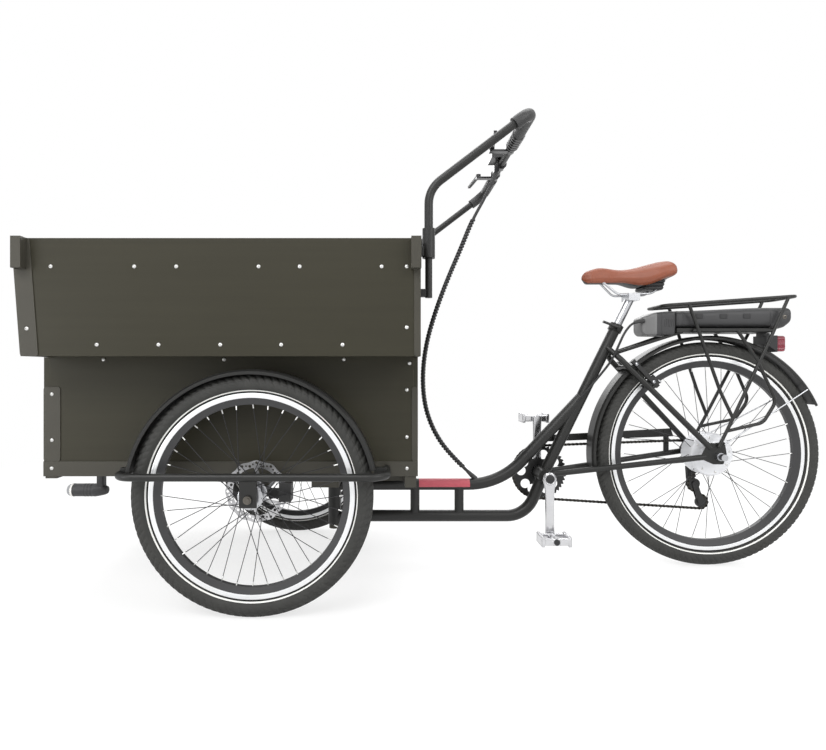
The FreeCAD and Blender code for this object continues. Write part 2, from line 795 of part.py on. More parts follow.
# Handle
bar_points = [(s.post_x, -s.bar_half, s.sleeve_low_z), (s.post_x, -s.bar_half, s.bar_knee_z),
              (s.bar_top_x, -s.bar_half, s.bar_top_z), (s.bar_top_x, s.bar_half, s.bar_top_z),
              (s.post_x, s.bar_half, s.bar_knee_z), (s.post_x, s.bar_half, s.sleeve_low_z)]
bar_bends = [s.bar_knee_bend, s.bar_corner_bend, s.bar_corner_bend, s.bar_knee_bend]
handlebar = node("handlebar", bent_tube("bar", bar_points, bar_bends, "bar_radius"))
sleeve_parts = [
    cylinder("sleeve", "sleeve_radius", "sleeve_top_z - sleeve_low_z",
             ("post_x", "-bar_half", "sleeve_low_z")),
    cylinder("post", "post_radius", "sleeve_low_z - post_low_z", ("post_x", "-bar_half", "post_low_z")),
    block("standoff", "post_x - box_rear_x - bar_radius", 20, "sleeve_top_z - sleeve_low_z - 50",
          ("box_rear_x", "-bar_half - 10", "sleeve_low_z + 5")),
    block("backing", 3, 30, 80, ("box_rear_x", "-bar_half - 15", "post_low_z - 54")),
    block("post_standoff", "post_x - box_rear_x", 12, 20,
          ("box_rear_x", "-bar_half - 6", "post_low_z + 2")),
]
sleeve_left = cut("sleeve_left", fuse("sleeve_solid", sleeve_parts), handlebar)
node("handle_sleeves", group("sleeves", [sleeve_left, mirror("sleeve_right", sleeve_left)]))

slope = V(s.bar_top_x - s.post_x, 0, s.bar_top_z - s.bar_knee_z).normalize()


def grip(name, side, inner):
    """A soft sleeve round the top corner of the bar."""
    lead = s.bar_corner_bend + 14
    start = (s.bar_top_x - slope.x * lead, side * s.bar_half, s.bar_top_z - slope.z * lead)
    points = [start, (s.bar_top_x, side * s.bar_half, s.bar_top_z),
              (s.bar_top_x, side * inner, s.bar_top_z)]
    body = bent_tube(name + "_body", points, [s.bar_corner_bend], "bar_radius + grip_wall")
    return cut(name, body, handlebar)


grip_left = grip("grip_left", -1, s.left_grip_in)
grip_right = grip("grip_right", 1, s.right_grip_in)
node("handle_grips", group("grips", [grip_left, grip_right]))

ring_bore = s.bar_radius + s.running_gap
grip_outer = s.bar_radius + s.grip_wall
shifter_outline = [(ring_bore, -s.left_grip_in + s.side_gap), (grip_outer, -s.left_grip_in + s.side_gap)]
ribs = 9
rib = (s.left_grip_in - s.shifter_in - 6) / ribs
for i in range(ribs):
    low = -s.left_grip_in + 2 + rib * i
    shifter_outline += [(grip_outer, low), (grip_outer + 2.5, low + rib * 0.3),
                        (grip_outer + 2.5, low + rib * 0.7)]
shifter_outline += [(grip_outer, -s.shifter_in), (ring_bore, -s.shifter_in)]
node("twist_shifter", turned("shifter", shifter_outline, ("bar_top_x", "0", "bar_top_z")))


def clamp(name, y):
    """A band round the bar with a forward block that holds the lever's pivot."""
    band = cylinder(name + "_band", "bar_radius + 5", "2 * clamp_half",
                    ("bar_top_x", y - s.clamp_half, "bar_top_z"), "Y")
    arm = block(name + "_arm", "lever_reach - 8", "2 * clamp_half", 6,
                (s.bar_top_x - s.lever_reach + 8, y - s.clamp_half, s.bar_top_z - 12))
    top = block(name + "_top", 20, "2 * clamp_half", 6,
                (s.bar_top_x - s.lever_reach - 8, y - s.clamp_half, s.bar_top_z - 12))
    return [band, arm, top]


display = [
    cylinder("display_band", "bar_radius + 5", 26, ("bar_top_x", 26, "bar_top_z"), "Y"),
    block("display_case", 46, 74, 16, (s.bar_top_x - 36, 2, s.bar_top_z + s.bar_radius + 2)),
    block("display_foot", 20, 26, 10, (s.bar_top_x - 10, 26, s.bar_top_z + s.bar_radius - 4)),
    block("cable_block", 16, 26, 22, (s.bar_top_x - 24, 26, s.bar_top_z - 24)),
]
controls = clamp("clamp_left", s.left_clamp_y) + clamp("clamp_right", s.right_clamp_y) + display
handle_controls = node("handle_controls", cut("controls", fuse("controls_solid", controls), handlebar))


def lever(name, y, side):
    """A brake lever whose blade reaches outwards in front of the grip."""
    pivot_x = s.bar_top_x - s.lever_reach
    low = s.bar_top_z - 6 + s.side_gap
    boss = cylinder(name + "_boss", 8, 9, (pivot_x, y, low))
    end_x = pivot_x - 14
    outline = [(pivot_x - 6, y), (pivot_x + 6, y), (end_x + 5, y + side * s.lever_length),
               (end_x - 4, y + side * s.lever_length)]
    points = [V(px, py, low + 1) for px, py in outline]
    blade = doc.addObject("Part::Extrusion", name + "_blade")
    blade.Base = feature(name + "_outline", Part.Face(Part.makePolygon(points + points[:1])))
    blade.DirMode = "Custom"
    blade.Dir = V(0, 0, 1)
    blade.LengthFwd = 7
    blade.Solid = True
    return fuse(name, [boss, blade])


node("brake_lever_left", lever("lever_left", s.left_clamp_y, -1))
node("brake_lever_right", lever("lever_right", s.right_clamp_y, 1))

# Headlight on a stem under the front cross tube
lamp_z = s.box_base_z - 102
lamp_front = -s.rear_axle_x - s.rear_tyre_radius
stem_rear = s.box_front_x + 16
lamp_outline = [(18, lamp_front), (20.5, lamp_front + 3), (20.5, lamp_front + 96), (14, lamp_front + 128)]
lamp_points = [V(0, 0, lamp_front)] + [V(r, 0, x) for r, x in lamp_outline] + [V(0, 0, lamp_front + 128)]
lamp = doc.addObject("Part::Revolution", "lamp")
lamp.Source = feature("lamp_face", Part.Face(Part.makePolygon(lamp_points + lamp_points[:1])))
lamp.Axis = V(0, 0, 1)
lamp.Angle = 360
lamp.Solid = True
lamp.Placement = FreeCAD.Placement(V(0, 0, lamp_z), TURN["X"])
stem = block("stem", 22, 26, s.box_base_z - s.angle_thick - 6 - lamp_z, (stem_rear - 22, -13, lamp_z))
node("headlight", fuse("headlight_all", [lamp, stem]))

# Main frame with stays and dropouts
seat_axis = V(s.seat_top_x - s.bracket_x, 0, s.seat_top_z - s.bracket_z).normalize()
join = s.bracket_z + 243
join_x = s.bracket_x + seat_axis.x / seat_axis.z * (join - s.bracket_z)
drop_x = s.rear_axle_x - 23
drop_z = s.rear_tyre_radius + 24
stay_y = s.dropout_in + s.dropout_thick / 2
stay_top = s.seat_top_z - 72
stay_top_x = s.bracket_x + seat_axis.x / seat_axis.z * (stay_top - s.bracket_z)
crown = V(545, 42, 645)
upper_tube = bent_tube("upper_tube", [(s.kingpin_x, 0, s.upper_tube_z), (s.knee_x, 0, s.upper_tube_z),
                                      (join_x, 0, join)], [s.knee_bend], "main_tube_radius")
lower_tube = bent_tube("lower_tube", [(s.kingpin_x, 0, s.lower_tube_z), (s.sweep_x, 0, s.lower_tube_z),
                                      (s.bracket_x, 0, s.bracket_z)], [s.sweep_bend], "main_tube_radius")
frame_parts = [
    upper_tube,
    lower_tube,
    cylinder("head", "head_radius", "head_top_z - head_low_z", ("kingpin_x", 0, "head_low_z")),
    cylinder("strut_front", "strut_radius", "upper_tube_z - lower_tube_z",
             ("strut_front_x", 0, "lower_tube_z")),
    cylinder("strut_rear", "strut_radius", "upper_tube_z - lower_tube_z",
             ("strut_rear_x", 0, "lower_tube_z")),
    rod("seat_tube", (s.bracket_x, 0, s.bracket_z), (s.seat_top_x, 0, s.seat_top_z), "seat_tube_radius"),
    cylinder("bracket", "bracket_radius", "2 * bracket_half", ("bracket_x", "-bracket_half", "bracket_z"),
             "Y"),
    rod("seat_collar", (s.seat_top_x - seat_axis.x * 22, 0, s.seat_top_z - seat_axis.z * 22),
        (s.seat_top_x, 0, s.seat_top_z), "seat_tube_radius + 4"),
]
dropout_shape = [(-48, -10), (-48, 8), (-30, 40), (-10, 40), (18, 44), (24, 6), (14, -24), (-16, -24)]
dropout_corners = [(s.rear_axle_x + x, s.rear_tyre_radius + z) for x, z in dropout_shape]
for side in (-1, 1):
    tag = "left" if side < 0 else "right"
    frame_parts += [
        rod("chainstay_" + tag, (s.bracket_x + 12, side * 28, s.bracket_z + 6),
            (s.rear_axle_x - 40, side * stay_y, s.rear_tyre_radius - 2), "stay_radius"),
        bent_tube("seatstay_" + tag, [(stay_top_x, side * 12, stay_top), (crown.x, side * crown.y,
                                                                          crown.z),
                                      (drop_x, side * stay_y, drop_z)], [35], "stay_radius"),
        plate("dropout_" + tag, rounded_outline(dropout_corners, 4), side * stay_y - s.dropout_thick / 2,
              "dropout_thick"),
    ]
fender_outer = s.rear_tyre_radius + s.rear_fender_gap + s.fender_thick
stay_line = V(crown.x - drop_x, 0, crown.z - drop_z).normalize()
bridge = V(s.rear_axle_x, 0, s.rear_tyre_radius) + stay_line * (fender_outer + 7)
frame_parts.append(rod("bridge", (bridge.x, -44, bridge.z), (bridge.x, 44, bridge.z), 7))
brake_at = V(s.rear_axle_x, 0, s.rear_tyre_radius) + stay_line * 282
boss_line = V(stay_line.z, 0, -stay_line.x)
if boss_line.x < 0:
    boss_line = boss_line * -1
along = (brake_at.x - crown.x) / (drop_x - crown.x)
boss_y = crown.y + along * (stay_y - crown.y)
for side in (-1, 1):
    tag = "left" if side < 0 else "right"
    tip = brake_at + boss_line * 34
    frame_parts.append(rod("brake_boss_" + tag, (brake_at.x, side * boss_y, brake_at.z),
                           (tip.x, side * boss_y, tip.z), 5))
hanger_tip = block("mech_hanger", 20, "dropout_thick", 30,
                   ("rear_axle_x - 10", "dropout_in", "rear_tyre_radius - 52"))
frame_solid = fuse("frame_solid", frame_parts + [hanger_tip])
frame_holes = fuse("frame_holes", [
    cylinder("head_bore", "kingpin_radius + running_gap", "head_top_z - head_low_z + 2",
             ("kingpin_x", 0, "head_low_z - 1")),
    cylinder("bracket_bore", "spindle_radius + running_gap", "2 * bracket_half + 2",
             ("bracket_x", "-bracket_half - 1", "bracket_z"), "Y"),
    cylinder("dropout_bore", "axle_radius + running_gap", 400, ("rear_axle_x", -200, "rear_tyre_radius"),
             "Y"),
    rod("post_bore", (s.seat_top_x - seat_axis.x * 260, 0, s.seat_top_z - seat_axis.z * 260),
        (s.seat_top_x + seat_axis.x * 5, 0,
         s.seat_top_z + seat_axis.z * 5), "seat_post_radius + running_gap"),
])
wheel_space = cylinder("wheel_space", "rear_tyre_radius + 6", "2 * tyre_half_width + 14",
                       ("rear_axle_x", "-tyre_half_width - 7", "rear_tyre_radius"), "Y")
frame_bored = cut("frame_bored", frame_solid, frame_holes)
main_frame = node("main_frame", cut("frame_cleared", frame_bored, wheel_space))

# Crankset and pedals
pitch_radius = s.chain_pitch / (2 * math.sin(math.pi / s.chainring_teeth))
ring_face = s.chain_line + s.tooth_half
crank_out = s.crank_in + s.crank_thick
pedal_in = crank_out + 6


def crank_arm(name, side):
    """One arm with its round ends and the pedal's spindle."""
    y = side * s.crank_in if side > 0 else -crank_out
    end_z = s.bracket_z + side * s.crank_length
    broad = s.crank_eye - 1
    slim = s.crank_end - 1
    web = [(s.bracket_x - broad, s.bracket_z), (s.bracket_x + broad, s.bracket_z),
           (s.bracket_x + slim, end_z), (s.bracket_x - slim, end_z)]
    spindle_low = crank_out if side > 0 else -crank_out - 6 - s.pedal_width
    return [
        cylinder(name + "_eye", "crank_eye", "crank_thick", ("bracket_x", y, "bracket_z"), "Y"),
        cylinder(name + "_end", "crank_end", "crank_thick", ("bracket_x", y, end_z), "Y"),
        plate(name + "_web", web, y, "crank_thick"),
        cylinder(name + "_spindle", 6, 6 + s.pedal_width, ("bracket_x", spindle_low, end_z), "Y"),
    ]


crank_parts = crank_arm("crank_left", -1) + crank_arm("crank_right", 1)
crank_parts.append(cylinder("spindle", "spindle_radius", "2 * crank_in",
                            ("bracket_x", "-crank_in", "bracket_z"), "Y"))
crank_parts.append(cylinder("spider", 38, s.crank_in - ring_face, ("bracket_x", ring_face, "bracket_z"),
                            "Y"))
node("crank_arms", fuse("crank_all", crank_parts))
ring_teeth = toothed("ring_teeth", s.chainring_teeth, (s.bracket_x, s.bracket_z), s.chain_line,
                     2 * s.tooth_half, 24)
windows = []
for i in range(10):
    angle = math.radians(72 * (i // 2) + 18 + (14 if i % 2 else -14))
    window_x = s.bracket_x + s.window_circle * math.cos(angle)
    window_z = s.bracket_z + s.window_circle * math.sin(angle)
    at = (window_x, s.chain_line - 10, window_z)
    windows.append(cylinder("ring_window_%d" % i, "window_radius", 20, at, "Y"))
node("chainring", cut("ring", ring_teeth, fuse("ring_windows", windows)))


def pedal(name, side):
    """A platform pedal that turns on the arm's spindle."""
    z = s.bracket_z + side * s.crank_length
    y = pedal_in if side > 0 else -pedal_in - s.pedal_width
    core = cylinder(name + "_core", 11, "pedal_width", ("bracket_x", y, z), "Y")
    rails = []
    for i, x in enumerate((-s.pedal_length / 2, s.pedal_length / 2 - 10)):
        rails.append(block(name + "_rail_%d" % i, 10, "pedal_width", "pedal_height",
                           (s.bracket_x + x, y, z - s.pedal_height / 2)))
    ends = []
    for i, offset in enumerate((0, s.pedal_width - 9)):
        ends.append(block(name + "_end_%d" % i, "pedal_length", 9, "pedal_height - 8",
                          (s.bracket_x - s.pedal_length / 2, y + offset, z - s.pedal_height / 2 + 4)))
    hole = cylinder(name + "_hole", 6 + s.running_gap, s.pedal_width + 2, ("bracket_x", y - 1, z), "Y")
    return cut(name, fuse(name + "_solid", [core] + rails + ends), hole)


node("pedal_left", pedal("pedal_l", -1))
node("pedal_right", pedal("pedal_r", 1))


# Chain as a channel along its real route
def tangent(first, second):
    """Straight line between two circles, each (x, z, radius, hand)."""
    dx = second[0] - first[0]
    dz = second[1] - first[1]
    gap = math.hypot(dx, dz)
    lean = math.asin((first[2] * first[3] - second[2] * second[3]) / gap)
    heading = math.atan2(dz, dx) + lean
    out = []
    for circle in (first, second):
        out.append(V(circle[0] + circle[2] * circle[3] * math.sin(heading), 0,
                     circle[1] - circle[2] * circle[3] * math.cos(heading)))
    return out


def chain_loop(offset):
    """The chain's closed route, moved outwards by an offset."""
    cog_radius = s.chain_pitch / (2 * math.sin(math.pi / s.cog_teeth))
    stations = [(s.bracket_x, s.bracket_z, pitch_radius + offset, -1),
                (s.rear_axle_x, s.rear_tyre_radius, cog_radius + offset, -1),
                (s.pulley_x, s.pulley_z, s.pulley_radius - offset, 1),
                (s.tension_x, s.tension_z, s.pulley_radius + offset, -1)]
    lines = [tangent(stations[i], stations[(i + 1) % 4]) for i in range(4)]
    edges = []
    for i in range(4):
        edges.append(Part.makeLine(lines[i][0], lines[i][1]))
        here = stations[(i + 1) % 4]
        start = lines[i][1]
        end = lines[(i + 1) % 4][0]
        centre = V(here[0], 0, here[1])
        first = math.atan2(start.z - centre.z, start.x - centre.x)
        last = math.atan2(end.z - centre.z, end.x - centre.x)
        while (last - first) * here[3] < 0:
            last += 2 * math.pi * here[3]
        middle = (first + last) / 2
        via = centre + V(math.cos(middle), 0, math.sin(middle)) * here[2]
        edges.append(Part.Arc(start, via, end).toShape())
    return Part.Wire(edges)


def chain_band(low, high, y, width):
    outer = Part.Face(chain_loop(high))
    inner = Part.Face(chain_loop(low))
    depth = V(0, width, 0)
    band = outer.extrude(depth).cut(inner.extrude(depth))
    band.translate(V(0, y, 0))
    return band


side_plate = s.chain_half_width - s.chain_channel
half_height = s.chain_half_height
channel = chain_band(-half_height, half_height, s.chain_line - s.chain_half_width, side_plate)
channel = channel.fuse(chain_band(-half_height, half_height, s.chain_line + s.chain_channel, side_plate))
channel = channel.fuse(chain_band(half_height - 0.9, half_height, s.chain_line - s.chain_half_width,
                                  2 * s.chain_half_width))
node("chain", feature("chain_channel_body", channel.removeSplitter()))

# Derailleur with its cage and pulleys
cage_gap = s.chain_half_width + 1.5
cage_out = s.chain_line + cage_gap + 1.5
boss_face = cage_out + s.side_gap
hanger_low = s.rear_tyre_radius - 52
derailleur_parts = [
    cylinder("mech_pivot", 10, s.dropout_in + s.dropout_thick + 12 - boss_face,
             ("pulley_x", boss_face, "pulley_z"), "Y"),
    block("mech_body", 22, 12, hanger_low - s.pulley_z + 16,
          (s.pulley_x - 8, s.dropout_in + s.dropout_thick, "pulley_z")),
]
node("derailleur", fuse("mech", derailleur_parts))
smooth = s.pulley_radius - half_height - 0.3


def cage_plate(name, y):
    line = V(s.tension_x - s.pulley_x, 0, s.tension_z - s.pulley_z)
    across = V(line.z, 0, -line.x).normalize() * 9
    ends = [V(s.pulley_x, 0, s.pulley_z), V(s.tension_x, 0, s.tension_z)]
    corners = [ends[0] - across, ends[1] - across, ends[1] + across, ends[0] + across]
    return [
        plate(name + "_strip", [(c.x, c.z) for c in corners], y, 1.5),
        cylinder(name + "_top", 9, 1.5, ("pulley_x", y, "pulley_z"), "Y"),
        cylinder(name + "_low", 9, 1.5, ("tension_x", y, "tension_z"), "Y"),
    ]


cage_parts = cage_plate("cage_in", s.chain_line - cage_gap - 1.5) + cage_plate("cage_out",
                                                                               s.chain_line + cage_gap)
for tag in ("pulley", "tension"):
    cage_parts.append(cylinder(tag + "_wheel", smooth, 5, (tag + "_x", s.chain_line - 2.5, tag + "_z"),
                               "Y"))
    cage_parts.append(cylinder(tag + "_pin", 4, 2 * cage_gap,
                               (tag + "_x", s.chain_line - cage_gap, tag + "_z"), "Y"))
node("derailleur_cage", fuse("cage", cage_parts))

# Chain guard outside the upper run
guard_y = s.chain_line + 11
guard_outline = [(s.bracket_x + 8, s.bracket_z + 96), (s.bracket_x + 30, s.bracket_z + 118),
                 (s.rear_axle_x - 80, s.rear_tyre_radius + 72), (s.rear_axle_x - 72,
                                                                 s.rear_tyre_radius + 46)]
guard = plate("guard_strip", guard_outline, guard_y, 3)
guard_foot = block("guard_foot", 16, 5, 80, (s.rear_axle_x - 104, guard_y - 2, s.rear_tyre_radius - 10))
guard_rod = rod("guard_rod", (s.bracket_x + 52, 0, s.bracket_z + 106),
                (s.bracket_x + 52, guard_y + 1, s.bracket_z + 106), 4)
node("chain_guard", cut("guard", fuse("guard_solid", [guard, guard_foot, guard_rod]), main_frame))

# Rear fender with its stays
rear_arc = fender("rear_arc", s.rear_tyre_radius + s.rear_fender_gap, s.rear_fender_start,
                  s.rear_fender_end, REAR)
fender_parts = [rear_arc]
stay_angle = math.radians(34)
stay_radius_at = s.rear_tyre_radius + s.rear_fender_gap - 6
stay_end = (s.rear_axle_x + stay_radius_at * math.cos(stay_angle),
            s.rear_tyre_radius + stay_radius_at * math.sin(stay_angle))
eye_y = s.dropout_in + s.dropout_thick + 2
for side in (-1, 1):
    tag = "left" if side < 0 else "right"
    fender_parts.append(rod("fender_stay_" + tag, (stay_end[0], side * s.fender_half, stay_end[1]),
                            (s.rear_axle_x + 16, side * eye_y, s.rear_tyre_radius + 36), 2))
node("rear_fender", cut("rear_fender_cut", fuse("rear_fender_solid", fender_parts), main_frame))

# Rack
rail_front = (s.rack_front_x, s.rack_front_z)
rail_rear = (s.rack_rear_x, s.rack_rear_z)
half = s.rack_half
foot_y = s.dropout_in + s.dropout_thick + s.rack_rod
top_loop = [(rail_rear[0], 0, rail_rear[1]), (rail_rear[0], -half, rail_rear[1]),
            (rail_front[0], -half, rail_front[1]),
            (rail_front[0], half, rail_front[1]), (rail_rear[0], half, rail_rear[1]), (rail_rear[0], 0,
                                                                                       rail_rear[1])]
rack_parts = [
    bent_tube("rack_top", top_loop, [s.rack_bend] * 4, "rack_rod"),
    block("deck", "deck_rear_x - deck_front_x", "2 * battery_half", "deck_thick",
          ("deck_front_x", "-battery_half", "deck_z")),
]
for side in (-1, 1):
    tag = "left" if side < 0 else "right"
    rear_leg = [(1049, side * half, 836), (1001, side * half, 727), (865, side * (foot_y - 3), 452),
                (826, side * foot_y, 378)]
    front_leg = [(744, side * half, 814), (771, side * half, 740), (837, side * (half + 4), 548),
                 (872, side * (foot_y - 4), 466)]
    loop = [(892, side * half, 733), (951, side * (half + 3), 642), (1006, side * (half + 6), 516),
            (965, side * (half + 8), 452), (852, side * (foot_y - 2), 427)]
    rack_parts += [
        bent_tube("rear_leg_" + tag, rear_leg, [40, 60], "rack_rod"),
        bent_tube("front_leg_" + tag, front_leg, [40, 60], "rack_rod"),
        bent_tube("side_loop_" + tag, loop, [60, 36, 36], "rack_rod"),
        rod("rack_stay_" + tag, (stay_top_x + 22, side * 20, stay_top - 18),
            (735, side * 40, s.deck_z + 2), "rack_rod"),
        block("deck_tab_" + tag, 250, s.rack_half - s.battery_half + 2, 6,
              (758, side * (s.battery_half + s.rack_half) / 2 - (s.rack_half - s.battery_half + 2) / 2,
               s.deck_z + 2)),
    ]
rack = fuse("rack_solid", rack_parts)
node("rear_rack", cut("rack", rack, main_frame))

# Battery, controller and tail light
deck_top = s.deck_z + s.deck_thick
controller_low = deck_top - 22
controller_front = s.deck_front_x - s.controller_length
controller_outline = [(controller_front, controller_low + 8), (controller_front + 12, controller_low),
                      (s.deck_front_x, controller_low), (s.deck_front_x, deck_top + 54),
                      (controller_front + 8, deck_top + 46)]
case_y = -s.battery_half + 4
case_width = 2 * s.battery_half - 8
controller = soften("controller", plate("controller_case", controller_outline, case_y, case_width),
                    s.battery_round)
node("battery_controller", cut("controller_notched", controller, nodes["rear_rack"]))
battery_end = s.deck_front_x + s.battery_length
battery_front = s.deck_front_x + s.side_gap
battery_low = deck_top + s.side_gap
battery_outline = [(battery_front, battery_low), (battery_end - 20, battery_low),
                   (battery_end, deck_top + 14),
                   (battery_end, deck_top + s.battery_height - 4), (battery_end - 60,
                                                                    deck_top + s.battery_height - 4),
                   (battery_front, deck_top + s.battery_height - 14)]
node("battery", soften("battery_body", plate("battery_case", battery_outline, case_y, case_width),
                       s.battery_round))
light_top = s.deck_z - 9
light_front = s.deck_rear_x - 11
light_rear = s.deck_rear_x + 23
case_outline = [(light_front, light_top - 27), (light_rear, light_top - 51), (light_rear, light_top),
                (light_front, light_top)]
light_parts = [
    plate("light_case", case_outline, -33, 66),
    block("light_bracket", 24, 30, 11, (s.deck_rear_x - 13, -15, light_top - 2)),
]
node("tail_light", fuse("light", light_parts))
lens_corners = upright(light_rear, 28, light_top - 50, light_top)
node("tail_light_lens", plate("lens", rounded_outline(lens_corners, 5), -30, 60))

# Seat post with rails and clamp
post_top = V(s.seat_top_x, 0, s.seat_top_z) + seat_axis * 90
post_low = V(s.seat_top_x, 0, s.seat_top_z) - seat_axis * 160
rail_low_z = post_top.z + 12
seat_x = post_top.x
seat_parts = [
    rod("post_bar", tuple(post_low), tuple(post_top), "seat_post_radius"),
    block("seat_clamp_block", 34, 58, 22, (seat_x - 14, -29, post_top.z - 6)),
]
for side in (-1, 1):
    tag = "left" if side < 0 else "right"
    points = [(seat_x - 94, side * 12, rail_low_z + 44), (seat_x - 46, side * 22, rail_low_z),
              (seat_x + 62, side * 24, rail_low_z + 4), (seat_x + 104, side * 34, rail_low_z + 56)]
    seat_parts.append(bent_tube("seat_rail_" + tag, points, [30, 30], 3.5))
seat_solid = fuse("seat_solid", seat_parts)

# Saddle as a padded form with a narrow nose, a dip and a broad tail
saddle_front = seat_x - s.saddle_setback
saddle_low = rail_low_z + 22


def ease(t, start, end):
    """A smooth step from nought to one between two shares of the length."""
    share = min(max((t - start) / (end - start), 0), 1)
    return share * share * (3 - 2 * share)


def saddle_section(t):
    """The saddle's outline across, at a share of its length."""
    half_width = 9 + 12 * ease(t, 0, 0.1) + 57 * ease(t, 0.25, 0.85) - 20 * ease(t, 0.9, 1)
    top = 38 + 23 * ease(t, -0.1, 0.2) - 7 * ease(t, 0.2, 0.42)
    top += 25 * ease(t, 0.42, 0.9) - 13 * ease(t, 0.88, 1)
    low = 24 - 7 * ease(t, 0, 0.06) - 15 * ease(t, 0.4, 0.62)
    low += 26 * ease(t, 0.62, 0.95) + 8 * ease(t, 0.9, 1)
    middle = (top + low) / 2
    ring = [V(0, 0, top + 3), V(0, half_width * 0.62, top - 1), V(0, half_width, middle + 4),
            V(0, half_width * 0.9, low + 4), V(0, half_width * 0.55, low), V(0, 0, low + 1)]
    ring += [V(0, -p.y, p.z) for p in ring[4:0:-1]]
    x = saddle_front + s.saddle_length * t
    curve = Part.BSplineCurve()
    curve.interpolate([V(x, p.y, saddle_low + p.z) for p in ring], PeriodicFlag=True)
    return Part.Wire(curve.toShape())


sections = [saddle_section(i / 9) for i in range(10)]
saddle_form = feature("saddle_form", Part.makeLoft(sections, True, False))
node("saddle", saddle_form)
node("seat_post", cut("seat_trimmed", seat_solid, saddle_form))

# Quick-release lever beside the collar
qr = V(s.seat_top_x, 0, s.seat_top_z) - seat_axis * 11
qr_y = -s.seat_tube_radius - 4
qr_cam = doc.addObject("Part::Sphere", "qr_cam")
qr_cam.Radius = 6
place(qr_cam, (qr.x, qr_y - 6 - s.side_gap, qr.z))
cam_at = V(qr.x, qr_y - 6 - s.side_gap, qr.z)
node("qr_lever", fuse("qr", [
    qr_cam,
    rod("qr_pin", tuple(cam_at - seat_axis * 7.5), tuple(cam_at + seat_axis * 7.5), 3),
    rod("qr_blade", (qr.x, qr_y - 6, qr.z), (qr.x - 50, qr_y - 9, qr.z + 18), 4),
]))

# Rear brake arms on their bosses
for side in (-1, 1):
    tag = "left" if side < 0 else "right"
    centre = brake_at + boss_line * 20
    blade = doc.addObject("Part::Box", "v_blade_" + tag)
    blade.Length = 12
    blade.Width = 13
    blade.Height = 112
    corner = V(centre.x, side * boss_y, centre.z) - boss_line * 6 - V(0, 6.5, 0) - stay_line * 8
    blade.Placement = FreeCAD.Placement(corner, FreeCAD.Rotation(boss_line, V(0, 1, 0), stay_line, "ZXY"))
    shoe_at = centre + stay_line * 12.5
    rim_side = s.rim_half_width + 1.5
    shoe = doc.addObject("Part::Box", "v_shoe_" + tag)
    shoe.Length = 52
    shoe.Width = 8
    shoe.Height = 10
    shoe_y = side * (rim_side + 4) - 4
    shoe_corner = V(shoe_at.x, shoe_y, shoe_at.z) - boss_line * 26 - stay_line * 5
    shoe.Placement = FreeCAD.Placement(shoe_corner, FreeCAD.Rotation(boss_line, V(0, 1, 0), stay_line,
                                                                     "ZXY"))
    post = rod("v_post_" + tag, (shoe_at.x, side * (rim_side + 6), shoe_at.z),
               (shoe_at.x, side * boss_y, shoe_at.z), 3.5)
    arm_solid = fuse("v_solid_" + tag, [blade, shoe, post])
    reach = brake_at + boss_line * 60
    hole = rod("v_hole_" + tag, (brake_at.x, side * boss_y, brake_at.z),
               (reach.x, side * boss_y, reach.z), 5 + s.running_gap)
    node("v_brake_arm_" + tag, cut("v_arm_" + tag, arm_solid, hole))


# Cords
def cord(name, points, radius):
    """A soft cable of straight runs joined by tangent arcs."""
    vectors = [V(*p) for p in points]
    bends = []
    for i in range(1, len(vectors) - 1):
        into = vectors[i] - vectors[i - 1]
        out = vectors[i + 1] - vectors[i]
        turn = into.getAngle(out)
        bends.append(0.45 * min(into.Length, out.Length) / math.tan(turn / 2))
    print(name, "bend radii", [round(b) for b in bends])
    return bent_tube(name, points, bends, radius)


tube_top = s.upper_tube_z + s.main_tube_radius
loom_points = [(s.bar_top_x - 16, 39, s.bar_top_z - 24), (146, 37, 1176), (99, 31, 1094), (62, 24, 1002),
               (16, 15, 897), (-22, 9, 796), (-52, 4, 694), (-64, 2, 592), (-56, 0, 492), (-20, 0, 402),
               (38, 0, 330), (104, 0, tube_top - 1)]
loom = cord("loom_tube", loom_points, "cord_radius")
node("control_loom", cut("loom", loom, group("loom_ends", [main_frame, handle_controls])))
lead_start = controller_front
lead_points = [(lead_start + 6, -34, deck_top + 24), (lead_start - 26, -40, deck_top + 22),
               (lead_start - 56, -46, deck_top - 8),
               (lead_start - 76, -46, deck_top - 52), (lead_start - 94, -40, deck_top - 98), (join_x + 43,
                                                                                              -28,
                                                                                              join + 63),
               (join_x + 3, -25, join + 15), (join_x - 33, -8, join - 31)]
lead = cord("lead_tube", lead_points, "lead_radius")
node("battery_lead", cut("lead", lead, group("lead_ends", [main_frame, nodes["battery_controller"]])))

# Check and export
doc.recompute()
os.makedirs("parts", exist_ok=True)
for obj in doc.Objects:
    if "Invalid" in obj.State or "Error" in obj.State:
        raise RuntimeError("%s is %s" % (obj.Name, obj.State))
for label, obj in sorted(nodes.items()):
    shape = obj.Shape
    if shape.isNull() or not shape.isValid() or not shape.Solids:
        raise RuntimeError("%s has no valid solid" % label)
    shape.exportStep("parts/%s.step" % label)
    print(label, len(shape.Solids), "solids", round(shape.Volume / 1000), "cm3")
print(len(nodes), "pieces")
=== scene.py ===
# %% [markdown]
# A cargo tricycle, dressed for its photograph. The solids of the frame, the box and the wheels come
# packed from the CAD model and stay where they are. This lesson adds what a workshop adds after
# welding: finishes, rubber, spokes, leather, cables and screws. Sizes are written in millimetres, as
# on a workshop drawing, and MM turns them into Blender's metres.

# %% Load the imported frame
import json
import math

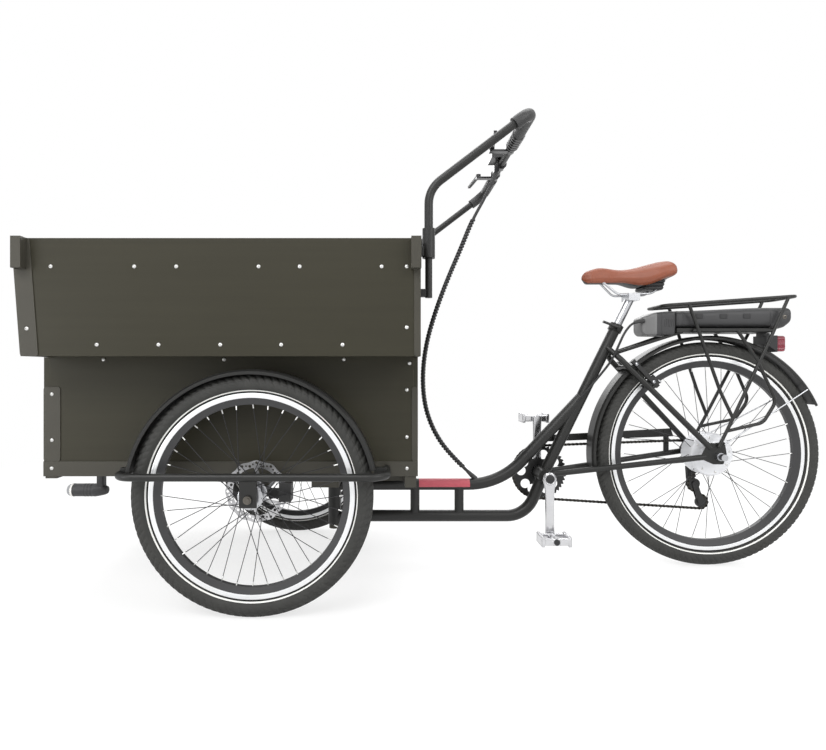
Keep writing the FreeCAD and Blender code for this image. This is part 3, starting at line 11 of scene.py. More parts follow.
import bmesh
import bpy
import numpy as np
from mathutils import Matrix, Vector


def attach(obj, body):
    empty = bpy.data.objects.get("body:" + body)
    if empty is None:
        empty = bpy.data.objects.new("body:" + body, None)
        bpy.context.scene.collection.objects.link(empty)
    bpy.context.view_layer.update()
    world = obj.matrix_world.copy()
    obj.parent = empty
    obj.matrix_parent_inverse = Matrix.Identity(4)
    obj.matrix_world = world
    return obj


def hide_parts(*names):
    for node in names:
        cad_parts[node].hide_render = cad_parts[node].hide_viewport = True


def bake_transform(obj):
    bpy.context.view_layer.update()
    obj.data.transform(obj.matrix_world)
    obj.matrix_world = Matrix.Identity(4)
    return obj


MM = 0.001
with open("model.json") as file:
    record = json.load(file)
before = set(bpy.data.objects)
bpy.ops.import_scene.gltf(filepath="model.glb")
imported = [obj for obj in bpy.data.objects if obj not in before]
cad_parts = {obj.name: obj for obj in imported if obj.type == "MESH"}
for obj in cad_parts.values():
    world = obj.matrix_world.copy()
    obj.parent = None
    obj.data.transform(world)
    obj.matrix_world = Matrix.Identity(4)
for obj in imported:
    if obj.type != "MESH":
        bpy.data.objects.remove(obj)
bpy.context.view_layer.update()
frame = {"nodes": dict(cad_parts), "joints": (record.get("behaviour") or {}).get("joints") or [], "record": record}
nodes = frame["nodes"]
print("packed nodes:", len(nodes))

# %% [markdown]
# The camera comes first.
# The lens was worked out from the wheels: a wheel seen square on stays a circle, and the near
# front wheel and the rear wheel stand at two known distances, which fixes the focal length.
# The optical axis isn't quite in the middle of the picture, so the lens is shifted a little.


# %% Camera
def shown(name, data):
    """A new object for some data, linked into the scene."""
    made = bpy.data.objects.new(name, data)
    bpy.context.scene.collection.objects.link(made)
    return made


PHOTO_WIDTH = 826
PHOTO_HEIGHT = 750
FOCAL_PIXELS = 585
AXIS_PIXEL = (383.0, 369.2)
CAMERA_PLACE = (-0.18775, -1.8445, 0.6144)
lens = bpy.data.cameras.new("photo_lens")
lens.sensor_width = 36
lens.lens = lens.sensor_width * FOCAL_PIXELS / PHOTO_WIDTH
lens.shift_x = (PHOTO_WIDTH / 2 - AXIS_PIXEL[0]) / PHOTO_WIDTH
lens.shift_y = (AXIS_PIXEL[1] - PHOTO_HEIGHT / 2) / PHOTO_WIDTH
camera = shown("photo_camera", lens)
camera.location = CAMERA_PLACE
camera.rotation_euler = (math.pi / 2, 0, 0)
bpy.context.scene.camera = camera
bpy.context.scene.view_settings.view_transform = "Standard"
print("lens", round(lens.lens, 2), "mm")

# %% [markdown]
# Shader graphs are easier to read when the wiring is short. One helper makes a node and feeds its
# inputs from other nodes or with plain values; the others give what nearly every real surface has,
# such as soft drifting noise. All patterns read Object coordinates, so they stay on the piece from
# every side.


# %% Shader helpers
def srgb(red, green, blue):
    """A colour as the eye names it, 0 to 255, turned into the linear light that shaders use."""
    seen = np.array([red, green, blue]) / 255
    light = np.where(seen <= 0.04045, seen / 12.92, ((seen + 0.055) / 1.055) ** 2.4)
    return (*light.tolist(), 1.0)


def fed(tree, node, inputs):
    """Joins a node's inputs, by name or number, to sockets, or gives them plain values."""
    for key, value in inputs.items():
        if isinstance(value, bpy.types.NodeSocket):
            tree.links.new(value, node.inputs[key])
        else:
            node.inputs[key].default_value = value


def wired(tree, kind, inputs, out=0, **settings):
    """A new node with its settings and fed inputs, known by one of its outputs."""
    node = tree.nodes.new(kind)
    for key, value in settings.items():
        setattr(node, key, value)
    fed(tree, node, inputs)
    return node.outputs[out]


class Graph:
    """A new material's node graph, with its main shader at hand."""

    def __init__(self, name):
        """A material with nodes, and the socket that gives places on the piece."""
        self.made = bpy.data.materials.new(name)
        self.made.use_nodes = True
        self.tree = self.made.node_tree
        self.place = self.add("ShaderNodeTexCoord", {}, "Object")

    def add(self, kind, inputs, out=0, **settings):
        """A node of this graph."""
        return wired(self.tree, kind, inputs, out, **settings)

    def coat(self, inputs):
        """Feeds the main shader."""
        fed(self.tree, self.tree.nodes["Principled BSDF"], inputs)

    def noise(self, scale, detail=3.0, stretch=None):
        """Soft drifting noise, finer where the scale is larger; a stretch along the axes makes streaks."""
        place = self.place
        if stretch is not None:
            place = self.add("ShaderNodeMapping", {"Vector": place, "Scale": stretch})
        return self.add("ShaderNodeTexNoise", {"Vector": place, "Scale": scale, "Detail": detail}, "Fac")

    def cells(self, scale):
        """The distance to the nearest of many scattered points, which gives round cells."""
        return self.add("ShaderNodeTexVoronoi", {"Vector": self.place, "Scale": scale}, "Distance")

    def span(self, value, low, high, source=(0.0, 1.0)):
        """Stretches a value from one range to another."""
        ranges = {"From Min": source[0], "From Max": source[1], "To Min": low, "To Max": high}
        return self.add("ShaderNodeMapRange", {"Value": value, **ranges})

    def math(self, operation, first, second):
        """A sum or product of two sockets, or of a socket and a number."""
        return self.add("ShaderNodeMath", {0: first, 1: second}, operation=operation)

    def mix(self, share, first, second):
        """Two colours blended by a share that varies over the surface; their inputs are 6 and 7."""
        return self.add("ShaderNodeMix", {0: share, 6: first, 7: second}, 2, data_type="RGBA")

    def edges(self, radius):
        """How close a point is to a sharp edge: rounded and true normals part company there."""
        soft = self.add("ShaderNodeBevel", {"Radius": radius}, samples=4)
        true = self.add("ShaderNodeNewGeometry", {}, "Normal")
        alike = self.add("ShaderNodeVectorMath", {0: soft, 1: true}, "Value", operation="DOT_PRODUCT")
        return soft, self.span(alike, 1.0, 0.0, (0.78, 0.99))

    def relief(self, height, depth, strength, normal=None):
        """Light and shade as on small heights, on top of a given normal."""
        inputs = {"Height": height, "Distance": depth, "Strength": strength}
        if normal is not None:
            inputs["Normal"] = normal
        self.coat({"Normal": self.add("ShaderNodeBump", inputs)})


print("node graphs ready")

# %% [markdown]
# Most finishes differ only in their numbers, so one function makes them. The colour drifts in broad
# patches, a fine grain moves the roughness and the relief, and edges may take another colour, partly as
# wear and partly as a painted highlight or a painted shade.


# %% A working finish
def shade(colour, factor):
    """A colour made darker or lighter by a factor, no brighter than white."""
    return (*[min(1.0, channel * factor) for channel in colour[:3]], 1.0)


def finish(name, colour, rough, metal=0.0, drift=0.15, patch=9.0, grain=700.0, depth=0.00005,
           stretch=None, edge_wear_and_light=None, edge=0.0012, sheen=0.5):
    """A working finish: colour drifts in patches, fine grain moves roughness and relief, edges take another
    colour, partly wear and partly painted light.
    """
    graph = Graph(name)
    fine = graph.noise(grain, 2.0, stretch)
    tone = graph.mix(graph.noise(patch, 4.0), shade(colour, 1 - drift), shade(colour, 1 + drift))
    normal = None
    # Edge colour: partly wear, partly a painted highlight on dark finishes and a painted shade on polished metal.
    if edge_wear_and_light is not None:
        normal, rim = graph.edges(edge)
        edge_wear_and_light_share = graph.math("MULTIPLY", rim, graph.span(graph.noise(60.0), 0.0, 0.8, (0.35, 0.75)))
        tone = graph.mix(edge_wear_and_light_share, tone, edge_wear_and_light)
    graph.coat({"Base Color": tone, "Roughness": graph.span(fine, rough - 0.06, rough + 0.08),
                "Metallic": metal, "Specular IOR Level": sheen})
    graph.relief(fine, depth, 0.6, normal)
    return graph.made


print("finish helper ready")

# %% [markdown]
# The frame is powder coated: a satin black with a very fine orange peel. A bevel test finds sharp
# edges and lightens the black a touch there, partly as wear of a thinner coat and partly as a painted
# highlight. The box boards are plywood with a dark olive film; the film has a fine speckle and faint
# streaks along its rolling direction.

# %% Painted steel and box boards
# The paler edge colours of these three finishes are partly wear and partly a painted highlight.
frame_paint = finish("frame_paint", srgb(31, 31, 30), 0.4, edge_wear_and_light=srgb(84, 84, 80), sheen=0.35)
trim_paint = finish("trim_paint", srgb(59, 57, 50), 0.46, edge_wear_and_light=srgb(112, 109, 97), sheen=0.3)
black_alloy = finish("black_alloy", srgb(34, 34, 34), 0.36, edge_wear_and_light=srgb(100, 100, 100), sheen=0.4)


def board_film(name, colour):
    """Film-faced board: speckle, long faint streaks, and a paler edge, partly wear and partly a painted highlight.
    """
    graph = Graph(name)
    speckle = graph.noise(1400.0, 2.0)
    streak = graph.noise(38.0, 3.0, (0.06, 1.0, 1.6))
    broad = graph.noise(2.2, 2.0)
    base = graph.mix(broad, shade(colour, 0.9), shade(colour, 1.12))
    toned = graph.mix(graph.span(streak, 0.0, 0.5, (0.35, 0.8)), base, shade(colour, 1.25))
    # The paler edge is partly wear and partly a painted highlight.
    normal, rim = graph.edges(0.0016)
    edge_wear_and_light_share = graph.math("MULTIPLY", rim, graph.span(graph.noise(45.0), 0.1, 0.7, (0.3, 0.7)))
    graph.coat({"Base Color": graph.mix(edge_wear_and_light_share, toned, srgb(92, 87, 70)), "Specular IOR Level": 0.22,
                "Roughness": graph.span(speckle, 0.36, 0.56)})
    graph.relief(speckle, 0.00006, 0.7, normal)
    return graph.made


box_board = board_film("box_board_film", srgb(46, 44, 34))
print("paint and boards:", frame_paint.name, box_board.name)

# %% [markdown]
# Metals differ mostly in how they were worked. Cranks and pedals are polished aluminium, with faint
# streaks from the polishing wheel; hubs and seat post are satin; chain and sprockets are oiled steel.
# A metal shows what it mirrors, and here that is white, so the polished pieces get a painted dark
# reflection along their edges, in place of darker surroundings.

# %% Metals
# After the colour stand roughness, metal, drift, patch scale, grain scale and relief depth.
# The dark edge colour of the polished aluminium is a painted reflection.
silver = finish("polished_aluminium", srgb(204, 204, 206), 0.2, 1.0, 0.1, 40.0, 900.0, 0.00002,
                stretch=(1, 1, 0.08), edge_wear_and_light=srgb(26, 26, 28), edge=0.004)
satin_alloy = finish("satin_alloy", srgb(186, 187, 190), 0.28, 1.0, 0.08, 20.0, 1200.0, 0.00002)
oiled_steel = finish("oiled_steel", srgb(104, 100, 94), 0.4, 1.0, 0.35, 120.0, 1500.0, 0.00003)
chain_steel = finish("chain_steel", srgb(66, 64, 60), 0.42, 0.9, 0.3, 240.0, 1500.0, 0.00003)
disc_steel = finish("brake_disc_steel", srgb(188, 188, 190), 0.28, 1.0, 0.06, 30.0, 1800.0, 0.00002)
screw_zinc = finish("screw_zinc", srgb(214, 214, 212), 0.28, 0.8, 0.06, 300.0, 2500.0, 0.00001)
motor_casting = finish("motor_casting", srgb(214, 215, 218), 0.42, 0.3, 0.06, 24.0, 1600.0, 0.00003)
spoke_steel = finish("dark_spoke_steel", srgb(52, 52, 54), 0.4, 0.6, 0.2, 80.0, 1500.0, 0.00001)
print("metals: 8")

# %% [markdown]
# Rubber and plastic: the tyre is matt with a dusty bloom, grips and cable sheaths are soft and
# slightly shiny, the battery is a moulded grey with a fine spark-eroded texture.

# %% Rubbers, plastics and rims
tyre_rubber = finish("tyre_rubber", srgb(46, 46, 44), 0.68, 0.0, 0.3, 26.0, 520.0, 0.0006, sheen=0.4)
grip_rubber = finish("grip_rubber", srgb(42, 42, 42), 0.5, 0.0, 0.2, 60.0, 1400.0, 0.00015)
cable_sheath = finish("cable_sheath", srgb(30, 30, 31), 0.45, 0.0, 0.15, 60.0, 1500.0, 0.00003,
                      sheen=0.4)
# The paler edge colours of black plastic and battery grey are partly wear and partly a painted highlight.
black_plastic = finish("black_plastic", srgb(36, 36, 37), 0.5, 0.0, 0.12, 40.0, 1800.0, 0.00006,
                       edge_wear_and_light=srgb(76, 76, 76), sheen=0.4)
# The pale edge colour of the glossy black is a painted highlight.
gloss_black = finish("gloss_black", srgb(32, 32, 33), 0.2, 0.0, 0.12, 40.0, 1800.0, 0.00002,
                     edge_wear_and_light=srgb(150, 150, 150), sheen=0.8)
battery_grey = finish("battery_grey", srgb(54, 54, 55), 0.48, 0.0, 0.08, 20.0, 2200.0, 0.00006,
                      edge_wear_and_light=srgb(104, 104, 104), sheen=0.35)
controller_grey = finish("controller_grey", srgb(104, 104, 104), 0.42, 0.0, 0.08, 20.0, 2200.0, 0.00005)
stripe_white = finish("reflex_stripe", srgb(226, 226, 222), 0.4, 0.0, 0.06, 70.0, 3000.0, 0.00003)
rim_dark = finish("rim_anodised", srgb(50, 50, 51), 0.4, 0.2, 0.1, 15.0, 1500.0, 0.00002)
rim_bright = finish("rim_machined", srgb(226, 227, 228), 0.3, 0.6, 0.05, 25.0, 1500.0, 0.00002)
lamp_glass = finish("lamp_glass", srgb(150, 152, 154), 0.12, 0.3, 0.2, 90.0, 300.0, 0.0002)
ring_white = finish("ring_white", srgb(226, 224, 220), 0.45, 0.0, 0.05, 60.0, 1500.0, 0.00003)
strip_red = finish("tube_strip_red", srgb(176, 74, 86), 0.42, 0.0, 0.12, 50.0, 1500.0, 0.00003)
print("rubbers, plastics and rims: 13")

# %% [markdown]
# The tail lens is red acrylic over a ribbed reflector. Light could be traced through it, but at this
# size two reds in level bands under a clear coat look the same and stay red from every side. The
# saddle's leather has a fine grain, made from small cells with darker hollows.


# %% Lens and saddle leather
def lens_red(name):
    """Two reds in bands along the height, a slightly uneven roughness and a clear coat."""
    graph = Graph(name)
    # The two reds in bands are painted light and shade of the ribbed reflector.
    ribs = graph.add("ShaderNodeTexWave", {"Vector": graph.place, "Scale": 80.0}, "Fac",
                     wave_type="BANDS", bands_direction="Z")
    graph.coat({"Base Color": graph.mix(ribs, srgb(86, 2, 22), srgb(134, 14, 46)), "Coat Weight": 0.3,
                "Roughness": graph.span(graph.noise(300.0), 0.08, 0.16)})
    graph.relief(ribs, 0.0006, 0.5)
    return graph.made


def leather(name, colour):
    """Smooth-grained leather: small cells for the grain, darker hollows, and broad paler patches."""
    graph = Graph(name)
    grain = graph.cells(900.0)
    pores = graph.noise(2600.0, 2.0)
    broad = graph.noise(14.0, 4.0)
    base = graph.mix(broad, shade(colour, 0.82), shade(colour, 1.12))
    tone = graph.mix(graph.span(grain, 0.0, 0.35, (0.25, 0.7)), base, shade(colour, 0.6))
    graph.coat({"Base Color": tone, "Roughness": graph.span(pores, 0.36, 0.56)})
    graph.relief(graph.math("ADD", grain, graph.math("MULTIPLY", pores, 0.3)), 0.00025, 0.5)
    return graph.made


lens_acrylic = lens_red("tail_lens_acrylic")
saddle_leather = leather("saddle_leather", srgb(134, 71, 46))
print("lens and leather ready")

# %% [markdown]
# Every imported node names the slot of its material, and each slot has one finish here. A few nodes are
# made of something else than the rest of their slot, so they are dressed by name.

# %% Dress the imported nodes
SLOT_FINISH = {
    "frame_black": frame_paint,
    "box_board": box_board,
    "tyre_rubber": tyre_rubber,
    "rim_black": rim_dark,
    "hub_metal": satin_alloy,
    "silver_metal": silver,
    "steel": oiled_steel,
    "black_alloy": black_alloy,
    "grip_rubber": grip_rubber,
    "black_plastic": black_plastic,
    "battery_grey": battery_grey,
    "red_lens": lens_acrylic,
    "saddle_leather": saddle_leather,
}
for part in frame["record"]["subparts"]:
    mesh = nodes[part["node"]].data
    mesh.materials.clear()
    mesh.materials.append(SLOT_FINISH[part["material_slot"]])
for name in ("box_metal_trim", "canopy_sockets", "carriage_frame"):
    nodes[name].data.materials[0] = trim_paint
nodes["handle_controls"].data.materials[0] = gloss_black
for name in ("rear_axle", "seat_post"):
    nodes[name].data.materials[0] = satin_alloy

# %% [markdown]
# Every new piece is a grid of points worked out at once with arrays. The grid's faces are the same
# four-cornered pattern each time, so one helper makes them, and another turns arrays into a piece
# that rides on its CAD body. Sharp edges are kept by angle, so turned parts look turned.


# %% Surface helpers
def grid_faces(rows, columns, round_rows=False, round_columns=False):
    """Each face joins a point, its neighbour in the row, and the same two in the next row."""
    row = np.arange(rows if round_rows else rows - 1)
    column = np.arange(columns if round_columns else columns - 1)
    row, column = np.meshgrid(row, column, indexing="ij")
    next_row = (row + 1) % rows
    next_column = (column + 1) % columns
    corners = [row * columns + column, row * columns + next_column,
               next_row * columns + next_column, next_row * columns + column]
    return np.stack(corners, -1).reshape(-1, 4)


def repeated(points, faces, copies):
    """Copies of one shape: points are (copies, n, 3), faces shift by n from copy to copy."""
    count = points.shape[1]
    shift = np.arange(copies)[:, None, None] * count
    return points.reshape(-1, 3), (faces[None] + shift).reshape(-1, faces.shape[1])


def joined(*parts):
    """Several (points, faces) as one shape, with the number of the part each face came from."""
    points = [part[0].reshape(-1, 3) for part in parts]
    before = np.cumsum([0] + [len(item) for item in points[:-1]])
    faces = np.concatenate([part[1] + shift for part, shift in zip(parts, before)])
    which = np.repeat(np.arange(len(parts)), [len(part[1]) for part in parts])
    return np.concatenate(points), faces, which


def settle(mesh, name, finishes, body, replaced=None, sharp=35, weld=1e-6):
    """A mesh closed, turned outwards, shaded, and set to ride on a body of the frame."""
    for item in finishes if isinstance(finishes, list) else [finishes]:
        mesh.materials.append(item)
    form = bmesh.new()
    form.from_mesh(mesh)
    bmesh.ops.remove_doubles(form, verts=form.verts, dist=weld)
    bmesh.ops.dissolve_degenerate(form, edges=form.edges, dist=weld)
    bmesh.ops.recalc_face_normals(form, faces=form.faces)
    form.to_mesh(mesh)
    form.free()
    mesh.shade_smooth()
    mesh.set_sharp_from_angle(angle=math.radians(sharp))
    made = shown(name, mesh)
    if body is not None:
        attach(made, body)
    if replaced is not None:
        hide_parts(replaced)
    return made


def piece(name, shape, finishes, body, which=None, replaced=None, sharp=35):
    """A shape's points and faces as an object; which picks a finish for each face."""
    points, faces = shape[:2]
    mesh = bpy.data.meshes.new(name)
    mesh.from_pydata(points.reshape(-1, 3).tolist(), [], faces.tolist())
    if which is not None:
        mesh.polygons.foreach_set("material_index", which.astype(np.int32))
    return settle(mesh, name, finishes, body, replaced, sharp)


print("grid and piece helpers ready")

# %% [markdown]
# Most metal parts of a cycle are turned, drawn or forged. A turned part is a profile swung round its
# axle, a spoke or bolt is a ring of points at both ends of a bar, and a forged or moulded part is a
# loft: a row of rounded sections that grow and shrink along its length.


# %% Turned parts, bars and lofts
def circle(count):
    """Angles spaced evenly round a circle."""
    return np.linspace(0, 2 * np.pi, count, endpoint=False)


def unit(vectors):
    """Vectors divided by their own lengths."""
    return vectors / np.linalg.norm(vectors, axis=-1, keepdims=True)


def closed(grid):
    """A grid whose first and last rows are drawn to their middles, which shuts both ends."""
    first, last = [np.broadcast_to(row.mean(0), row.shape)[None] for row in (grid[0], grid[-1])]
    return np.concatenate([first, grid, last])


def skin(grid):
    """A grid of points and its faces, with every row joined up into a ring."""
    return grid, grid_faces(len(grid), grid.shape[1], round_columns=True)


def turned(profile, centre, steps=96):
    """A closed profile of (radius, along) turned about an axle along Y: x = r cos a, z = r sin a."""
    angle = circle(steps)
    radius, along = np.asarray(profile, float).T
    points = np.stack([np.outer(np.cos(angle), radius), np.broadcast_to(along, (steps, len(along))),
                       np.outer(np.sin(angle), radius)], -1)
    return (points + np.asarray(centre)) * MM, grid_faces(steps, len(along), True, True)


def bars(starts, ends, radius, sides=8):
    """Straight round bars: a ring of points at each end, carried on two directions across the bar."""
    starts, ends = np.asarray(starts, float), np.asarray(ends, float)
    along = unit(ends - starts)
    helper = np.where(np.abs(along[:, 1:2]) < 0.9, [[0, 1, 0]], [[1, 0, 0]])
    first = unit(np.cross(along, helper))
    second = np.cross(along, first)
    angle = circle(sides)[None, :, None]
    ring = radius * (np.cos(angle) * first[:, None] + np.sin(angle) * second[:, None])
    middle = np.zeros_like(ring)
    stack = [starts[:, None] + middle, starts[:, None] + ring, ends[:, None] + ring, ends[:, None] + middle]
    points = np.stack(stack, 1).reshape(len(starts), -1, 3)
    return repeated(points * MM, grid_faces(4, sides, round_columns=True), len(starts))


def eased(start, end, radius, middle=24):
    """Places along a length, closer together at both rounded ends."""
    turn = radius * (1 - np.cos(np.linspace(0, np.pi / 2, 8)))
    inside = np.linspace(start + radius, end - radius, middle)[1:-1]
    return np.concatenate([start + turn, inside, end - turn[::-1]])


def pulled(along, radius):
    """How far a rounded end draws a section in: r - sqrt(r² - (r - d)²) at a distance d from the end."""
    gap = np.clip(np.minimum(along - along[0], along[-1] - along) / radius, 0, 1)
    return radius * (1 - np.sqrt(1 - (1 - gap) ** 2))


def loft(along, low_u, high_u, low_v, high_v, power, columns=64):
    """Sections as superellipses |u|^p + |v|^p = 1 in the box from low to high; ends closed to a point."""
    angle = circle(columns)
    bend = 2 / power
    u = np.sign(np.cos(angle)) * np.abs(np.cos(angle)) ** bend
    v = np.sign(np.sin(angle)) * np.abs(np.sin(angle)) ** bend
    low_u, high_u, low_v, high_v = [np.broadcast_to(np.asarray(x, float), along.shape)
                                    for x in (low_u, high_u, low_v, high_v)]
    u = (low_u + high_u)[:, None] / 2 + (high_u - low_u)[:, None] / 2 * u
    v = (low_v + high_v)[:, None] / 2 + (high_v - low_v)[:, None] / 2 * v
    grid = np.stack([np.broadcast_to(along[:, None], u.shape), u, v], -1)
    return skin(closed(grid) * MM)


def ease(t, start, end):
    """A smooth step from nought to one: 3 s² - 2 s³ of the share s between start and end."""
    share = np.clip((t - start) / (end - start), 0, 1)
    return share * share * (3 - 2 * share)


print("turned, bar and loft helpers ready")

# %% [markdown]
# A tyre is a ring of nearly round section. Its tread is cut, not painted: slanted grooves and two
# shallow rings are pressed into the crown by moving the grid inwards where a wave passes a limit.
# The white reflex stripe is a band of the same grid with another finish, so it follows the wall. The
# wheels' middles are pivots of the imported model, and an axle's height is its tyre's outer radius.


# %% Tyres
def tyre(name, node, body, centre, rim, stripe, grooves):
    """Section angle p from the crown: r = middle + h cos p, y = w sin p; the tread lowers r where
    cos(n a + k |p|) passes a limit."""
    outer = centre[2]
    height = (outer - rim) / 2
    middle = (outer + rim) / 2
    half = 23.5
    tread = 2.6
    low, high = [math.acos((radius - middle) / height) for radius in stripe[::-1]]
    last = math.radians(158)
    half_turn = np.concatenate([np.linspace(0, 1.9, 29)[:-1], np.linspace(1.9, low, 4)[:-1],
                                np.linspace(low, high, 4)[:-1], np.linspace(high, last, 3)])
    section = np.concatenate([-half_turn[:0:-1], half_turn])
    steps = 8 * grooves
    angle = circle(steps)
    across = np.abs(section)[None, :]
    hand = np.where(section[None, :] < 0, 1, -1)
    slant = np.cos(grooves * angle[:, None] + 5.0 * across * hand)
    # Grooves start beside the crown, at 0.22 radians, and end on the shoulder, at 1.86.
    zone = np.clip((across - 0.22) * 12, 0, 1) * np.clip((1.86 - across) * 6, 0, 1)
    cut = np.clip((slant - 0.3) * 4, 0, 1) * zone
    # Two shallow rings run round each side of the crown, at 0.42 and 1.25 radians.
    ring = np.exp(-((across - 0.42) / 0.05) ** 2) + np.exp(-((across - 1.25) / 0.05) ** 2)
    depth = tread * np.maximum(cut * (1 - 0.4 * ease(across, 0.9, 1.8)), 0.8 * ring)
    radius = middle + (height - depth) * np.cos(section)[None, :]
    along = (half - depth * 0.7) * np.sin(section)[None, :]
    bead = np.full((steps, 1), rim - 5.5)
    radius = np.concatenate([bead, radius, bead], 1)
    along = np.concatenate([np.full((steps, 1), -10.2), along, np.full((steps, 1), 10.2)], 1)
    points = np.stack([radius * np.cos(angle)[:, None], along, radius * np.sin(angle)[:, None]], -1)
    points = (points + centre) * MM
    between = np.abs(section[1:] + section[:-1]) / 2
    band = np.concatenate([[0], (between > low) & (between < high), [0, 0]])
    shape = points, grid_faces(steps, radius.shape[1], True, True)
    return piece(name, shape, [tyre_rubber, stripe_white], body, np.tile(band, steps),
                 node, 40)


pivots = {joint["name"]: np.array(joint["pos_m"]) / MM for joint in frame["joints"] if "pos_m" in joint}
FRONT = {side: pivots["front_" + side + "_spin"] for side in ("left", "right")}
REAR = pivots["rear_spin"]
for side, centre in FRONT.items():
    tyre("tread_front_" + side, "front_tyre_" + side, "front_wheel_" + side, centre, rim=256,
         stripe=(259.6, 262.4), grooves=96)
tyre("tread_rear", "rear_tyre", "rear_wheel", REAR, rim=303, stripe=(309.6, 312.8), grooves=112)
print("tyres: 3")

# %% [markdown]
# The rims are dark, with a bright machined band along each wall where brake shoes would run. A thin
# ring on the wall is cleaner than a colour mask, because its edge stays crisp at any distance.


# %% Rim bands
RIM_HALF = 13


def rim_band(name, body, centre, low, high):
    """Two flat rings, one on each wall of the rim, 0.25 mm proud, with a fine groove in the middle."""
    rings = []
    for wall in (-RIM_HALF, RIM_HALF):
        out = wall + math.copysign(0.25, wall)
        line = (low + high) / 2
        profile = [(low, wall), (low + 0.4, out), (line - 0.7, out), (line, wall), (line + 0.7, out),
                   (high - 0.4, out), (high, wall)]
        rings.append(turned(profile, centre, 144))
    return piece(name, joined(*rings), rim_bright, body)


for side, centre in FRONT.items():
    rim_band("rim_band_front_" + side, "front_wheel_" + side, centre, 243, 254.8)
rim_band("rim_band_rear", "rear_wheel", REAR, 291.5, 302.5)
print("rim bands: 3")

# %% [markdown]
# Spokes are laced from two flanges to the rim, leaning forwards and backwards in turn, so that the
# rim ends come out evenly spaced. Three crossings suit the small front hub, one the wide motor. Each
# spoke gets its nipple at the rim, the bright dash that shows against a dark background.


# %% Spokes and nipples
def lacing(flange, flange_y, inner, cross, pairs=18):
    """Hub ends and rim ends of all spokes round an axle at the origin, as two arrays."""
    step = 2 * np.pi / pairs
    index = np.tile(np.arange(pairs), 2)
    side = np.repeat([0, 1], pairs)
    lean = np.where(index % 2, cross, -cross)
    hub = step * (index + 0.5 * side)
    rim = hub + lean
    shift = 1.1 * np.where(index % 2, 1, -1)
    line = np.asarray(flange_y, float)[side]
    starts = np.stack([flange * np.cos(hub), line + shift, flange * np.sin(hub)], -1)
    ends = np.stack([inner * np.cos(rim), line * 0.12 + shift, inner * np.sin(rim)], -1)
    return starts, ends


def wheel_wires(name, body, centre, starts, ends):
    """Spokes of 2 mm wire, and a thicker sleeve on the last 10 mm of each."""
    along = unit(ends - starts)
    wires = bars(starts + centre, ends + centre, 1.0, 6)
    sleeves = bars(ends - along * 10 + centre, ends + along * 1.5 + centre, 1.6, 8)
    shape = joined(wires, sleeves)
    return piece(name, shape, [spoke_steel, screw_zinc], body, shape[2])


for side, centre in FRONT.items():
    starts, ends = lacing(flange=27.5, flange_y=(-26, 26), inner=225.9, cross=math.radians(60))
    wheel_wires("spokes_front_" + side, "front_wheel_" + side, centre, starts, ends)
starts, ends = lacing(flange=65, flange_y=(-26, 22), inner=270.9, cross=math.radians(20))
wheel_wires("spokes_rear", "rear_wheel", REAR, starts, ends)
print("spokes in all:", 3 * len(starts))

# %% [markdown]
# A brake disc is cut from flat steel. Its edge, windows and holes are closed lines in one flat curve,
# and where a line lies inside another the fill leaves a hole, as a laser cutter would. Cutting the
# holes out of a solid would give the same plate with a rougher mesh. The flat curve is made a mesh
# before it is put in its place beside the wheel.


# %% Flat plates
def polar(radius, angle):
    """Points of a plane from distances and angles: r cos a and r sin a."""
    return np.stack([radius * np.cos(angle), radius * np.sin(angle)], -1)


def baked(made):
    """The mesh that Blender works out from a curve."""
    bpy.context.view_layer.update()
    return bpy.data.meshes.new_from_object(made.evaluated_get(bpy.context.evaluated_depsgraph_get()))


def places(mesh):
    """The points of a mesh as one array."""
    found = np.zeros(len(mesh.vertices) * 3)
    mesh.vertices.foreach_get("co", found)
    return found.reshape(-1, 3)


def flat_cut(name, outlines, thick, centre, finishes, body):
    """A plate from closed outlines in the wheel's plane; inner outlines become holes."""
    curve = bpy.data.curves.new(name, "CURVE")
    curve.dimensions = "2D"
    curve.fill_mode = "BOTH"
    curve.extrude = thick * MM / 2
    for outline in outlines:
        spline = curve.splines.new("POLY")
        spline.points.add(len(outline) - 1)
        corners = np.pad(outline * MM, ((0, 0), (0, 2)))
        corners[:, 3] = 1
        spline.points.foreach_set("co", corners.ravel())
        spline.use_cyclic_u = True
    flat = shown(name, curve)
    mesh = baked(flat)
    bpy.data.objects.remove(flat)
    bpy.data.curves.remove(curve)
    place = places(mesh)[:, [0, 2, 1]] + centre * MM
    mesh.vertices.foreach_set("co", place.ravel())
    return settle(mesh, name, finishes, body)


print("plate helper ready")

# %% [markdown]
# The disc itself has a gently waved edge that wipes the pads clean, six windows between swept arms to
# save weight, and a band of cooling holes in two sizes.

# %% Outlines of the brake disc
DISC_HOLES = 48
WINDOW_INNER = 28
WINDOW_OUTER = 61
ARM_HALF = 4.2


